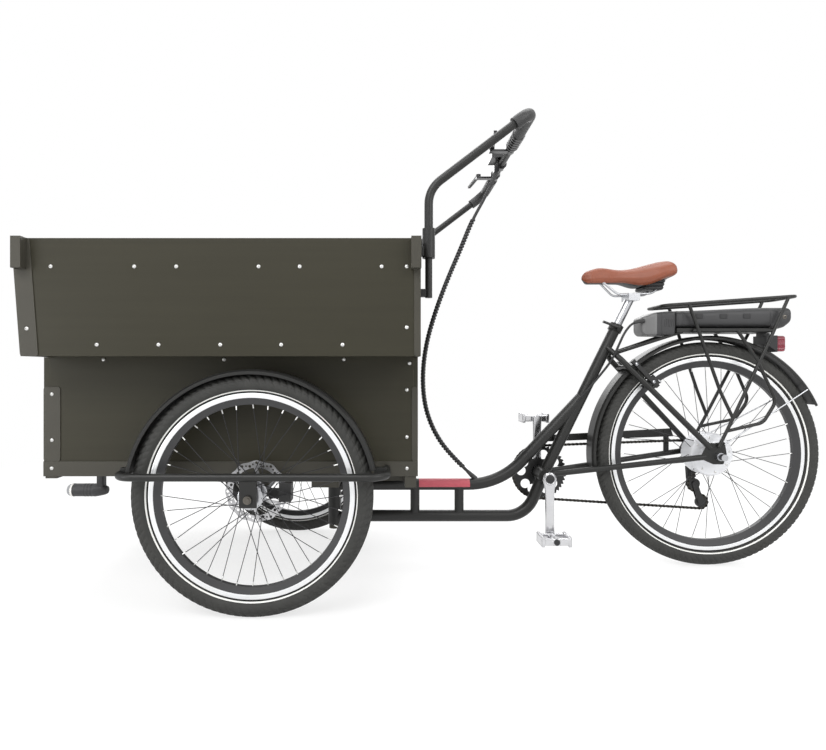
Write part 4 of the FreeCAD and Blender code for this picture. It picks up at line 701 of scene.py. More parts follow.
def disc_outlines():
    """Edge r = 78.4 + 1.6 cos 12a, and six windows between arms that sweep 22 degrees in 48 mm; large
    holes sit under the crests and troughs of the edge, small ones between them."""
    full = circle(240)
    outlines = [polar(78.4 + 1.6 * np.cos(12 * full), full), polar(18, full[::5])]
    rise = np.linspace(WINDOW_INNER, WINDOW_OUTER, 9)
    swept = np.radians(14 + 22 * (rise - 20) / 48)
    for arm in range(6):
        left = swept + np.radians(60 * arm) + ARM_HALF / rise
        right = swept + np.radians(60 * arm + 60) - ARM_HALF / rise
        outer = np.linspace(left[-1], right[-1], 12)[1:-1]
        inner = np.linspace(right[0], left[0], 8)[1:-1]
        edge = [polar(rise, left), polar(WINDOW_OUTER, outer), polar(rise[::-1], right[::-1]),
                polar(WINDOW_INNER, inner)]
        outlines.append(np.concatenate(edge))
    ring = circle(12)
    for hole in range(DISC_HOLES):
        reach, size = ((73.9, 3.7), (70.2, 2.5), (66.6, 3.7), (70.2, 2.5))[hole % 4]
        outlines.append(polar(reach, 2 * math.pi * hole / DISC_HOLES) + polar(size, ring))
    return outlines


print("closed lines in a brake disc:", len(disc_outlines()))

# %% [markdown]
# The front hubs are turned shells with two flanges for the spokes, a waist between them and a seat for
# the brake disc on the side of the box, so one profile does for both wheels, turned the other way.

# %% Front hubs
DISC_THICK = 2
DISC_SEAT = 45


def front_hub(side, centre, inward):
    """Barrel r = 15 + 3 (y / 24.5)² between two flanges, with the disc's seat towards the box."""
    waist = np.linspace(-24.5, 24.5, 13)
    barrel = np.stack([15 + 3 * (waist / 24.5) ** 2, waist], -1)
    outer = [(6.2, -34), (12, -34), (13, -33), (16, -28), (30, -27.5), (31, -27), (31, -25), (30, -24.5)]
    inner = [(30, 24.5), (31, 25), (31, 27), (30, 27.5), (22, 28), (22, 43.9), (13, 54), (6.2, 54)]
    profile = np.concatenate([outer, barrel, inner]) * [1, inward]
    body = "front_wheel_" + side
    shell = turned(profile, centre)
    piece("hub_front_" + side, shell, satin_alloy, body, None, "front_hub_" + side)
    seat = centre + [0, DISC_SEAT * inward, 0]
    flat_cut("brake_disc_" + side, disc_outlines(), DISC_THICK, seat, disc_steel, body)


for side, inward in (("left", 1), ("right", -1)):
    front_hub(side, FRONT[side], inward)
print("front hubs:", len(FRONT))

# %% [markdown]
# The rear hub holds the motor: a silver drum with a domed cover, cooling ribs round the rim of the
# drum, and a ring of cover screws. One turned profile gives cover, ribs and far side, and the screws
# are copies of one small dome.


# %% Motor
def domes(name, spots, normal, body, radius=5.0, rise=2.6, made_of=None):
    """Copies of a screw head: a dome with a round socket sunk into its middle."""
    spots = np.asarray(spots, float)
    normal = np.asarray(normal, float)
    first = unit(np.cross(normal, [0.3, 0.5, 0.8]))
    second = np.cross(normal, first)
    share = np.array([0.0, 0.34, 0.4, 0.66, 0.88, 1.0, 1.0, 0.0])[:, None, None]
    lift = np.array([0.2, 0.2, 1.0, 0.82, 0.45, 0.1, -0.2, -0.2])[:, None, None] * rise
    angle = circle(12)[None, :, None]
    one = radius * share * (np.cos(angle) * first + np.sin(angle) * second) + lift * normal
    points = (spots[:, None] + one.reshape(1, -1, 3)) * MM
    heads = repeated(points, grid_faces(8, 12, round_columns=True), len(spots))
    return piece(name, heads, made_of or screw_zinc, body, sharp=50)


cover = [(6.2, -44), (26, -44), (31, -43), (36, -39.5), (44, -37), (58, -35.6), (63, -34), (66, -30)]
ridge = np.linspace(-28, 24, 40)
drum = np.stack([66.6 + 0.4 * np.cos(ridge * 1.2), ridge], -1)
far = [(65.5, 27), (63, 29.6), (30, 30), (14, 30), (14, 60.8), (6.2, 60.8)]
shell = turned(np.concatenate([cover, drum, far]), REAR, 128)
piece("motor_drum", shell, motor_casting, "rear_wheel", None, "rear_hub_motor", 30)
COVER_FACE = -35.9
SCREW_RING = 54
turn = circle(8) + math.radians(10)
cover_screws = np.insert(polar(SCREW_RING, turn), 1, COVER_FACE, axis=1) + REAR
domes("motor_screws", cover_screws, (0, -1, 0), "rear_wheel", 3.6, 2.2)
print("motor drum with", len(turn), "cover screws")

# %% [markdown]
# Dome-head screws hold the boards to their metal corner strips. All screws of a side are copies of
# one turned head, pushed out along the side's normal. They are listed for each board by how far its
# face is from the middle; the front corner strip lies on the boards, so its screws stand out further.

# %% Screws
UPPER_FACE = 424
LOWER_FACE = 305
TRAY_FACE = 308
BOARD_SCREWS = {
    UPPER_FACE: [(-1064, 864), (-995, 864), (-792, 864), (-690, 864), (-490, 864), (-390, 864), (-191, 864),
                 (-130, 864), (-1052, 713), (-130, 716), (-883, 674), (-733, 674), (-583, 674),
                 (-435, 674), (-286, 674)],
    LOWER_FACE: [(-924, 640), (-606, 640), (-291, 640), (-118, 630), (-1058, 549), (-1058, 428),
                 (-125, 560), (-125, 436)],
}
TRAY_SCREWS = [(-1058, TRAY_FACE, 354), (-125, TRAY_FACE, 354)]
STRIP_REAR = -1040
STRIP_THICK = 2
for side, sign in (("left", -1), ("right", 1)):
    spots = [(x, face + STRIP_THICK * (x < STRIP_REAR), z)
             for face, listed in BOARD_SCREWS.items() for x, z in listed]
    spots = np.array(spots + TRAY_SCREWS) * [1, sign, 1]
    domes("screws_" + side, spots, (0, sign, 0), "carriage")
print("screws on each side:", len(spots))

# %% [markdown]
# The crank arms are forged and polished, so they need round edges to catch the light. Each is a loft:
# a rounded section whose width follows the eye, the waist and the pedal end, with a shallow channel
# along its outer face. A black cap closes the bolt hole in the eye.


# %% Cranks
EYE = 20
TIP = 14
ARM_INNER = 66
ARM_OUTER = 80
BRACKET = pivots["crank_spin"]
CRANK = pivots["pedal_right_spin"][2] - BRACKET[2]


def crank_arm(side):
    """Half width: circle of 20 at the eye, 13 at the waist, circle of 14 at the pedal end."""
    gap = np.concatenate([-EYE * np.cos(np.linspace(0, np.pi / 2, 10)), np.linspace(0, CRANK, 60)[1:-1],
                          CRANK + TIP * np.sin(np.linspace(0, np.pi / 2, 8))])
    waist = 13 + 7 * np.exp(-(gap / 26) ** 2) + np.exp(-((gap - CRANK) / 20) ** 2)
    half = np.where(gap < 0, np.sqrt(np.clip(EYE ** 2 - gap ** 2, 0.01, None)), waist)
    half = np.where(gap > CRANK, np.sqrt(np.clip(TIP ** 2 - (gap - CRANK) ** 2, 0.01, None)), half)
    grid, faces = loft(gap, -half, half, ARM_INNER, ARM_OUTER, 4.5, 48)
    gap, wide, deep = np.moveaxis(grid, -1, 0) / MM
    channel = 1.3 * np.exp(-(wide / 4.5) ** 4) * ease(gap, 30, 44) * (1 - ease(gap, 134, 150))
    deep = deep - channel * (deep > (ARM_INNER + ARM_OUTER) / 2)
    return (np.stack([wide, side * deep, side * gap], -1) + BRACKET) * MM, faces


arms = []
caps = []
for side in (-1, 1):
    outward = [1, side]
    spindle = np.multiply([(0, ARM_OUTER), (6, ARM_OUTER), (6, 147), (0, 147)], outward)
    collar = np.multiply([(13.2, 79.5), (14, 81), (16, 81.4), (17.2, 79.5)], outward)
    cap = np.multiply([(0, 79), (13, 79), (13, 80.6), (10, 82), (0, 82.4)], outward)
    arms.append(crank_arm(side))
    arms.append(turned(spindle, BRACKET + [0, 0, side * CRANK], 24))
    arms.append(turned(collar, BRACKET, 48))
    caps.append(turned(cap, BRACKET, 48))
axle = [(0, -ARM_INNER), (8, -ARM_INNER), (8, ARM_INNER), (0, ARM_INNER)]
arms.append(turned(axle, BRACKET, 32))
arms.append(turned([(8, 51.4), (37, 51.4), (38, 52.4), (38, 58), (30, 65.8), (8, 65.8)], BRACKET, 64))
piece("crank_forged", joined(*arms), silver, "crankset", None, "crank_arms")
piece("crank_caps", joined(*caps), black_plastic, "crankset")
print("crank arms", round(CRANK), "mm between centres")

# %% [markdown]
# The pedals are alloy cages: two toothed rails along the foot, an end plate at each side and a barrel
# on the spindle. The teeth are part of the rail's outline, a square wave with sloped flanks.


# %% Pedals
PEDAL_INNER = 86
PEDAL_WIDTH = 62
PLATE_WIDTH = 9
TEETH = 7


def pedal(name, body, node, side):
    """Rails whose upper and lower edges step by 3 mm, where a wave along the pedal's width is positive."""
    edge = PEDAL_INNER if side > 0 else -PEDAL_INNER - PEDAL_WIDTH
    place = BRACKET + [0, edge, side * CRANK]
    run = np.linspace(0, PEDAL_WIDTH, 57)
    tooth = 3 * np.clip(2 * np.sin(run / PEDAL_WIDTH * TEETH * 2 * np.pi + 0.4), 0, 1)
    parts = []
    for x in (-39, 39):
        points, faces = loft(run, x - 4.5, x + 4.5, -12 - tooth, 12 + tooth, 9, 24)
        parts.append((points[..., [1, 0, 2]] + place * MM, faces))
    for start in (0, PEDAL_WIDTH - PLATE_WIDTH):
        width = eased(-44, 44, 5, 10)
        pull = pulled(width, 5)
        points, faces = loft(width, start + pull * 0.3, start + PLATE_WIDTH - pull * 0.3, -10.5 + pull,
                             10.5 - pull, 6, 32)
        parts.append((points + place * MM, faces))
    barrel = [(6.2, 0), (11, 0), (11, 24), (9.5, 31), (11, 38), (11, PEDAL_WIDTH), (6.2, PEDAL_WIDTH)]
    parts.append(turned(barrel, place, 32))
    # The black of the barrel's end cap is painted shade, in place of the dark of a hole.
    cap = np.multiply([(0, 0), (9, 0), (9, 1.5), (7, 2.4), (0, 2.4)], [1, side])
    parts.append(turned(cap + [0, PEDAL_WIDTH * (side > 0)], place, 32))
    shape = joined(*parts)
    hole_shade_cap = shape[2] == len(parts) - 1
    return piece(name, shape, [silver, black_plastic], body, hole_shade_cap, node)


pedal("pedal_cage_left", "pedal_l", "pedal_left", -1)
pedal("pedal_cage_right", "pedal_r", "pedal_right", 1)
print("pedals: 2")

# %% [markdown]
# The chain is laid link by link along its route round the ring, the sprocket and the two pulleys.
# The route is four circles and the straight lines that touch them; walking along it in steps of the
# pitch gives the pins.


# %% Chain route
PITCH = 12.7
RING_TEETH = 42
SPROCKET_TEETH = 18
PULLEY = 22
UPPER_PULLEY = pivots["cage_swing"]
LOWER_PULLEY = (839, 186)
CHAIN_LINE = UPPER_PULLEY[1]


def chain_pins():
    """Touching points from the difference of the radii: the line leans by asin((r1 - r2) / gap)."""
    ring, sprocket = [PITCH / 2 / math.sin(math.pi / teeth) for teeth in (RING_TEETH, SPROCKET_TEETH)]
    radius = np.array([ring, sprocket, PULLEY, PULLEY])
    hand = np.array([-1, -1, 1, -1])
    centre = np.array([BRACKET[::2], REAR[::2], UPPER_PULLEY[::2], LOWER_PULLEY])
    step = np.roll(centre, -1, 0) - centre
    reach = radius * hand
    heading = np.arctan2(step[:, 1], step[:, 0])
    heading += np.arcsin((reach - np.roll(reach, -1)) / np.linalg.norm(step, axis=1))
    out = np.stack([np.sin(heading), -np.cos(heading)], -1)
    leave = centre + out * reach[:, None]
    arrive = np.roll(centre, -1, 0) + out * np.roll(reach, -1)[:, None]
    route = []
    for i in range(4):
        k = (i + 1) % 4
        first = math.atan2(*(arrive[i] - centre[k])[::-1])
        last = math.atan2(*(leave[k] - centre[k])[::-1])
        sweep = (last - first) * hand[k] % (2 * math.pi) * hand[k]
        arc = first + sweep * np.linspace(0, 1, 60)
        route.append(np.linspace(leave[i], arrive[i], 60)[:-1])
        route.append(centre[k] + polar(radius[k], arc)[:-1])
    stretch = np.repeat(np.arange(8), 59)
    route = np.concatenate(route + [leave[:1]])
    length = np.concatenate([[0], np.cumsum(np.linalg.norm(np.diff(route, axis=0), axis=1))])
    count = 2 * round(length[-1] / PITCH / 2)
    at = np.linspace(0, length[-1], count, endpoint=False)
    stretch = stretch[np.searchsorted(length, at, "right") - 1]
    return np.stack([np.interp(at, length, route[:, i]) for i in range(2)], -1), stretch


pins, stretch = chain_pins()
after = np.roll(pins, -1, 0)
print("chain pins:", len(pins))

# %% [markdown]
# A link is a pair of plates between two pins, with a roller on the pin; narrow and wide pairs take
# turns. The links on the pulleys and those next to them on the lower run are made as two separate
# pieces, not set on any body, so the chain is three pieces.


# %% Chain links
PLATE_THICK = 0.9
PLATE_HEAD = 4.1
PLATE_WAIST = 3.1


def link_plates(first, second, y):
    """An outline of two round heads and a narrower waist, placed between pins, with two flat sides."""
    turn = np.linspace(-np.pi / 2, np.pi / 2, 6)
    head = polar(PLATE_HEAD, turn)
    waist = np.array([[PITCH / 2, PLATE_WAIST]])
    outline = np.concatenate([head + [PITCH, 0], waist, -head, waist * [1, -1]])
    along = unit(second - first)
    over = np.stack([-along[:, 1], along[:, 0]], -1)
    flat = first[:, None] + outline[None, :, :1] * along[:, None] + outline[None, :, 1:] * over[:, None]
    heart = np.broadcast_to(((first + second) / 2)[:, None], flat.shape)
    layers = [(heart, y), (flat, y), (flat, y + PLATE_THICK), (heart, y + PLATE_THICK)]
    stack = [np.insert(part, 1, level, axis=-1) for part, level in layers]
    points = np.stack(stack, 1).reshape(len(first), -1, 3) * MM
    return repeated(points, grid_faces(4, len(outline), round_columns=True), len(first))


def chain_run(name, chosen, body=None, replaced=None):
    """The links that start at the chosen pins: narrow and wide pairs of plates in turn, and rollers."""
    parts = []
    for start, gap in ((0, 1.7), (1, 2.6)):
        links = chosen & (np.arange(len(pins)) % 2 == start)
        for y in (CHAIN_LINE + gap, CHAIN_LINE - gap - PLATE_THICK):
            parts.append(link_plates(pins[links], after[links], y))
    low = np.insert(pins[chosen], 1, CHAIN_LINE - 3.5, axis=1)
    parts.append(bars(low, low + [0, 7, 0], 2.6, 8))
    return piece(name, joined(*parts), chain_steel, body, None, replaced)


CAGE_TOP = 304
RETURN_FRONT = 620
on_cage = (stretch >= 2) & (stretch <= 5) & (pins[:, 1] < CAGE_TOP)
coming_back = (stretch == 6) & (pins[:, 0] > RETURN_FRONT)
chain_run("chain_links", ~(on_cage | coming_back), "rear_frame", "chain")
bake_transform(chain_run("chain_cage", on_cage))
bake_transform(chain_run("chain_return", coming_back))
print("chain links:", len(pins))

# %% [markdown]
# The saddle is a padded leather form: a narrow nose, a dip for the rider and a broad tail. Its width,
# top and bottom are sums of smooth steps along the length; a rolled seam runs round the widest line,
# and the pan below it is dark plastic. Nobody sits on it, so no cloth simulation is needed.

# %% Saddle cover
SADDLE_NOSE = 437.8
SADDLE_LENGTH = 284
SADDLE_LEVEL = 868.7
COLUMNS = 96
# Half width, crown and underside at shares of the length; shut rounds off the nose and the tail.
run = eased(0, 1, 0.06, 70)
half = 9 + 12 * ease(run, 0, 0.1) + 57 * ease(run, 0.25, 0.85) - 20 * ease(run, 0.9, 1)
top = 41 + 23 * ease(run, -0.1, 0.2) - 7 * ease(run, 0.2, 0.42) + 25 * ease(run, 0.42, 0.9)
top -= 13 * ease(run, 0.88, 1)
low = 22 - 9 * ease(run, 0, 0.06) - 11 * ease(run, 0.4, 0.62) + 26 * ease(run, 0.62, 0.95)
low += 8 * ease(run, 0.9, 1)
shut = np.sqrt(np.clip(1 - (1 - np.minimum(run / 0.05, 1)) ** 2, 0.004, 1))
shut *= np.sqrt(np.clip(1 - (1 - np.minimum((1 - run) / 0.07, 1)) ** 2, 0.004, 1))
# Each section is a flattened oval about the seam's level, with a hollow along the middle of the crown.
angle = circle(COLUMNS)
wide = np.sign(np.cos(angle)) * np.abs(np.cos(angle)) ** 0.8
rise = np.where(np.sin(angle) > 0, np.abs(np.sin(angle)) ** 0.85, -np.abs(np.sin(angle)) ** 0.5)
seam = np.exp(-(np.sin(angle) / 0.07) ** 2) * 1.3
rest = (0.36 * top + 0.64 * low)[:, None]
tall = np.where(rise > 0, (top[:, None] - rest) * rise, (rest - low[:, None]) * rise) * shut[:, None]
sunk = 3.0 * ease(run, 0.3, 0.5) * (1 - ease(run, 0.85, 0.97))
hollow = np.exp(-(wide / 0.16) ** 2) * (rise > 0) * sunk[:, None]
along = np.broadcast_to((SADDLE_NOSE + SADDLE_LENGTH * run)[:, None], tall.shape)
points = np.stack([along, (half[:, None] + seam) * wide * shut[:, None],
                   SADDLE_LEVEL + rest + tall - hollow], -1)
shape = skin(closed(points) * MM)
under = np.tile(np.sin(angle + np.pi / COLUMNS) < -0.8, len(shape[0]) - 1)
saddle = piece("saddle_cover", shape, [saddle_leather, black_plastic], "seat",
               under, "saddle", 60)
print("saddle", round(SADDLE_LENGTH * MM, 3), "m long")

# %% [markdown]
# Under the tail a stack of three rubber layers takes the shocks. It is an upright loft whose section
# swells once for each layer, so the valleys between them catch a shadow.

# %% Rubber layers under the saddle
LAYERS = 3
LAYERS_LOW = 861
LAYERS_HIGH = 893
level = np.linspace(LAYERS_LOW, LAYERS_HIGH, 49)
above = level - LAYERS_LOW
layer = 3.2 * np.abs(np.sin(above / (LAYERS_HIGH - LAYERS_LOW) * LAYERS * np.pi)) ** 0.5
points, faces = loft(level, 621 - layer, 679 + layer + above * 0.3, -36 - layer, 36 + layer, 5, 56)
shape = points[..., [1, 2, 0]], faces
piece("saddle_elastomers", shape, black_plastic, "seat")
print("rubber layers:", LAYERS)

# %% [markdown]
# The battery is a moulded case with round edges, parting grooves before its end caps, three latches and
# a lock disc on the near side. It is a loft like the cranks, with grooves made by drawing the sections
# in where a parting line runs round the case.


# %% Battery
def groove(along, middles, depth=1.2, width=1.3):
    """Round grooves: the sum of depth exp(-((x - middle) / width)²) over their middles."""
    return depth * np.exp(-((along[:, None] - np.asarray(middles)) / width) ** 2).sum(1)


def with_grooves(along, middles):
    """Places along a length, with closer ones across each groove."""
    return np.sort(np.concatenate([along, *[middle + np.linspace(-3, 3, 9) for middle in middles]]))


CASE_HALF = 48
CASE_ROUND = 8
SEAMS = [735, 1004]
run = with_grooves(eased(713.4, 1069, CASE_ROUND, 40), SEAMS)
pull = pulled(run, CASE_ROUND) + groove(run, SEAMS)
# The top rises towards the rear, and the underside lifts at the end cap.
high = 796 + 10 * ease(run, 713, 1010)
low = 740.3 + 14 * ease(run, 1046, 1069)
shell = loft(run, pull - CASE_HALF, CASE_HALF - pull, low + pull, high - pull, 3.6, 72)
piece("battery_shell", shell, battery_grey, "battery_pack", None, "battery")
latches = []
for start in (772, 846, 918):
    run = eased(start, start + 24, 3, 6)
    pull = pulled(run, 3)
    latches.append(loft(run, -49.4 + 0.4 * pull, -46, 770 + pull, 785 - pull, 8, 32))
piece("battery_latches", joined(*latches), black_plastic, "battery_pack")
domes("battery_lock", [(1046, -47.6, 775)], (0, -1, 0), "battery_pack", 7.0, 1.6,
      oiled_steel)
print("battery latches:", len(latches))

# %% [markdown]
# The controller sits in front of the battery. It is a case of the same width with a paler, narrowing
# nose and a row of vent ribs, so it is another loft, with a finish picked for each face.

# %% Controller
NOSE = 613
NOSE_SEAM = [668]
PALE_END = 652
run = with_grooves(eased(NOSE, 712.9, CASE_ROUND, 24), NOSE_SEAM)
pull = pulled(run, CASE_ROUND) + groove(run, NOSE_SEAM)
# The nose narrows from both sides and above, and its underside lifts.
low = 718 + 8 * (1 - ease(run, NOSE, 628))
high = 786 + 8 * ease(run, NOSE, 700)
cut = 16 * (1 - ease(run, NOSE, 650))
half = CASE_HALF - pull - cut
shell = loft(run, -half, half, low + pull, high - pull - 0.6 * cut, 8, 72)
pale = shell[0][:-1, :, 0].ravel() < PALE_END * MM
foot = np.stack([np.arange(676, 704, 5.5), np.full(6, -47.2), np.full(6, 744)], -1)
ribs = bars(foot, foot + [2.0, 0, 26], 1.5, 8)
shape = joined(shell, ribs)
tone = np.where(shape[2] == 1, 2, 1)
tone[:len(pale)] = np.where(pale, 0, 1)
piece("controller_shell", shape, [controller_grey, battery_grey, black_plastic], "rear_frame",
      tone, "battery_controller")
print("vent ribs on the controller:", len(foot))

# %% [markdown]
# The twist shifter is a sleeve on the handlebar with six thick rings for the hand. It is turned
# about the bar: its radius swells with the root of a sine's size, which gives round rings and narrow
# valleys between them.

# %% Twist shifter
RINGS = 6
BORE = 11.05
start, end = -215.7, -122
run = np.linspace(start, end, 145)
swell = 15.2 + 3.8 * np.sqrt(np.abs(np.sin((run - start) / (end - start) * RINGS * np.pi)))
profile = np.concatenate([[(BORE, start)], np.stack([swell, run], -1), [(BORE, end)]])
sleeve = turned(profile, pivots["shifter_twist"] * [1, 0, 1], 48)
piece("twist_grip", sleeve, gloss_black, "shifter", None, "twist_shifter", 50)
print("rings on the twist shifter:", RINGS)

# %% [markdown]
# The tail lens is a small moulded box. It is ribbed by a wave in its height, which moves the side walls
# in and out, so the ribs show in the outline too.

# %% Tail lens
RIB = 6
run = eased(1034.2, 1062, 5, 14)
pull = pulled(run, 5)
points, faces = loft(run, -30 + pull, 30 - pull, 669 + pull, 719 - pull, 7, 160)
points[..., 1] *= 1 + 0.02 * np.cos(points[..., 2] / MM * 2 * np.pi / RIB)
piece("tail_lens_ribbed", (points, faces), lens_acrylic, "rear_frame", None, "tail_light_lens")
print("ribs every", RIB, "mm on the tail lens")

# %% [markdown]
# The headlight is turned: a pale glossy front, a white ring and a dark ribbed barrel, held by a stem
# under the box. The profiles are turned about Y like a wheel's, and then X and Y change places.

# %% Headlight
LAMP_HEIGHT = 234
glass = [(0, -1180), (9, -1179.6), (15, -1177.4), (18.4, -1173), (19.6, -1166), (18, -1165), (0, -1165)]
ring = [(17, -1166.2), (20.8, -1166), (21, -1163), (20.8, -1160), (17, -1160)]
ridge = np.linspace(-1159.8, -1092, 60)
ribbed = np.stack([20.1 + 0.4 * np.sign(np.cos(ridge * 0.62)) * (ridge > -1130), ridge], -1)
tail = [(19.6, -1086), (17.4, -1074), (14.6, -1062), (11, -1055), (0, -1052.4)]
barrel = np.concatenate([[(0, -1160)], ribbed, tail])
turned_parts = [turned(profile, (0, 0, 0), 64) for profile in (glass, ring, barrel)]
lift = [0, 0, LAMP_HEIGHT * MM]
turned_parts = [(points[..., [1, 0, 2]] + lift, faces) for points, faces in turned_parts]
height = eased(236, 327, 4, 12)
pull = pulled(height, 4)
points, faces = loft(height, -1086 + pull, -1064 - pull, -13 + pull, 13 - pull, 6, 40)
turned_parts.append((points[..., [1, 2, 0]], faces))
shape = joined(*turned_parts)
piece("headlight_barrel", shape, [lamp_glass, ring_white, battery_grey, black_plastic], "carriage",
      shape[2], "headlight", 30)
print("headlight parts:", len(turned_parts))

# %% [markdown]
# A plain red band is laid on the upper tube, over its top and near side. It is a thin sheet with an
# inner and an outer face, part of a circle carried along the tube, and folded shut at both ends.

# %% Tube band
TUBE_RADIUS = 18
TUBE_HEIGHT = 252
across = np.linspace(math.radians(80), math.radians(198), 24)
run = np.linspace(-75, 84, 40)
sheet = []
for proud in (0.05, 0.35):
    arc = polar(TUBE_RADIUS + proud, across)[None] + [0, TUBE_HEIGHT]
    sheet.append(np.stack(np.broadcast_arrays(run[:, None], arc[..., 0], arc[..., 1]), -1))
grid = np.concatenate([sheet[0], sheet[1][:, ::-1]], 1)
inner = [row[:len(across)] for row in (grid[0], grid[-1])]
ends = [np.concatenate([row, row[::-1]])[None] for row in inner]
grid = np.concatenate([ends[0], grid, ends[1]]) * MM
piece("tube_band", skin(grid), strip_red, "rear_frame")
print("tube band", round(run[-1] - run[0]), "mm long")

# %% [markdown]
# The rear derailleur gets the links of its parallelogram and its pivot bolts, so it doesn't read as a
# block from behind. The brake arms get their pivot bolts and shoe nuts. The fender's wire stays are
# plain steel, drawn as bright sleeves over the painted rods. Straight bars and domes are enough.

# %% Derailleur links, brake bolts and fender wires
links = bars([(826, 76, 302), (812, 76, 296), (826, 84, 302), (812, 84, 296)],
             [(832, 70, 262), (812, 70, 254), (832, 78, 262), (812, 78, 254)], 4.2, 12)
bolts = bars([(830, 60, 300), (820, 60, 244), (839, 44, 186)],
             [(830, 92, 300), (820, 90, 244), (839, 61, 186)], 5.5, 16)
piece("derailleur_links", joined(links, bolts), black_alloy, "rear_frame")
bosses = [(658.5, -51.5, 576.4), (658.5, 51.5, 576.4)]
domes("brake_bolts", bosses, (0.719, 0, 0.695), "rear_frame", 7.0, 5.0, satin_alloy)
for side, sign in (("left", -1), ("right", 1)):
    nuts = [(639.7, sign * 58, 575.7), (587.2, sign * 58, 630.0)]
    domes("brake_nuts_" + side, nuts, (0, sign, 0), "v_arm_" + side, 6.0, 4.5, satin_alloy)
wires = bars([(1128.5, -31, 551.3), (1128.5, 31, 551.3)], [(846, -74, 386), (846, 74, 386)], 2.25, 12)
piece("fender_wires", wires, satin_alloy, "rear_frame")
print("brake bolts:", len(bosses))

# %% [markdown]
# The cables run together in a bundle from the handlebar down to the frame. A hanging cable is one
# smooth line, so it is a NURBS spline along its route. A cable that crosses the steering joint is made
# a mesh.


# %% Cable lines
def smooth_line(name, route, radius, resolution=8):
    """A NURBS curve with the route's points as its control points."""
    curve = bpy.data.curves.new(name, "CURVE")
    curve.dimensions = "3D"
    spline = curve.splines.new("NURBS")
    spline.points.add(len(route) - 1)
    control = np.concatenate([np.asarray(route) * MM, np.ones((len(route), 1))], 1)
    spline.points.foreach_set("co", control.ravel())
    spline.order_u = 3
    spline.use_endpoint_u = True
    spline.resolution_u = resolution
    curve.bevel_depth = radius * MM
    curve.bevel_resolution = 4
    curve.use_fill_caps = True
    return shown(name, curve)


def line_points(made):
    """Points along a curve's own line, read from the curve with its bevel set aside."""
    depth = made.data.bevel_depth
    made.data.bevel_depth = 0
    bare = baked(made)
    points = places(bare)
    bpy.data.meshes.remove(bare)
    made.data.bevel_depth = depth
    bpy.context.view_layer.update()
    return points


def measure(points):
    """The length of the line through some points."""
    return float(np.linalg.norm(np.diff(points, axis=0), axis=1).sum())


def as_mesh(made):
    """The same piece as a mesh."""
    mesh = baked(made)
    mesh.shade_smooth()
    name = made.name
    curve = made.data
    bpy.data.objects.remove(made)
    bpy.data.curves.remove(curve)
    return shown(name, mesh)


print("cable line helpers ready")

# %% [markdown]
# Where a cable leaves a housing, a short tapered boot of softer rubber takes the bending, and a spiral
# wrap holds the bundle together. Both are carried along the cable's own line: the boot as rings of
# points that shrink, the wrap as a ribbon that winds round it.


# %% Boots and spiral wrap
def carried(points, length, count):
    """Places along the first part of a line, its direction there, and two directions across it."""
    reach = np.concatenate([[0], np.cumsum(np.linalg.norm(np.diff(points, axis=0), axis=1))])
    at = np.linspace(0, length, count)
    line = np.stack([np.interp(at, reach, points[:, i]) for i in range(3)], -1)
    along = unit(np.gradient(line, axis=0))
    side = unit(np.cross(along, [0, 1, 0]))
    return line, along, side, np.cross(along, side)


def boot(name, points, length, wide, thin, body):
    """A strain relief: a sleeve on the cable's first part that tapers from wide to thin, with six rings."""
    line, _, side, over = carried(points, length * MM, 61)
    share = np.linspace(0, 1, 61)
    radius = (wide + (thin - wide) * share + 0.4 * np.cos(share * 6 * 2 * np.pi))[:, None, None] * MM
    angle = circle(24)[None, :, None]
    grid = line[:, None] + radius * (np.cos(angle) * side[:, None] + np.sin(angle) * over[:, None])
    return piece(name, skin(closed(grid)), grip_rubber, body)


def wound(points, radius, turns, width, thick):
    """A ribbon wound round a line: centre + radius (cos t side + sin t over), with t growing along it."""
    radius, width, thick = np.array([radius, width, thick]) * MM
    count = int(turns * 14)
    line, along, side, over = carried(points, measure(points), count)
    turn = np.linspace(0, 2 * np.pi * turns, count)[:, None]
    out = np.cos(turn) * side + np.sin(turn) * over
    rows = [line + out * radius - along * width / 2, line + out * (radius + thick) - along * width * 0.35,
            line + out * (radius + thick) + along * width * 0.35, line + out * radius + along * width / 2]
    return skin(closed(np.stack(rows, 1)))


print("boot and wrap helpers ready")

# %% [markdown]
# The bundle leaves the block under the handlebar's display, hangs free in front of the rider and ends
# in the upper frame tube. Its wrap starts some way down, so the top shows the plain sheath.

# %% Cable bundle
LOOM_ROUTE = [(176, 39, 1247), (146, 37, 1176), (99, 31, 1094), (62, 24, 1002), (16, 15, 897), (-22, 9, 796),
              (-52, 4, 694), (-64, 2, 592), (-56, 0, 492), (-20, 0, 402), (38, 0, 330), (104, 0, 269)]
loom_curve = smooth_line("cable_bundle", LOOM_ROUTE, 5.0)
loom_curve.data.materials.append(cable_sheath)
loom_points = line_points(loom_curve)
loom = as_mesh(loom_curve)
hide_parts("control_loom")
WRAP_TOP = 1100
sleeved = loom_points[loom_points[:, 2] < WRAP_TOP * MM][:-3]
ribbon = wound(sleeved, radius=4.9, turns=82, width=8.8, thick=2.8)
wrap = piece("spiral_wrap", ribbon, cable_sheath, None)
for item in (loom, wrap):
    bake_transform(item)
top_boot = boot("bundle_boot_top", loom_points, 42, 8.5, 5.8, "carriage")
low_boot = boot("bundle_boot_low", loom_points[::-1], 34, 8.5, 5.8, "rear_frame")
print("cable bundle", round(measure(loom_points), 3), "m")

# %% [markdown]
# The battery's lead is stiffer and shorter: from the controller's nose down behind the seat tube and
# into the frame. All of it stays on the rear frame, so it can remain a curve.

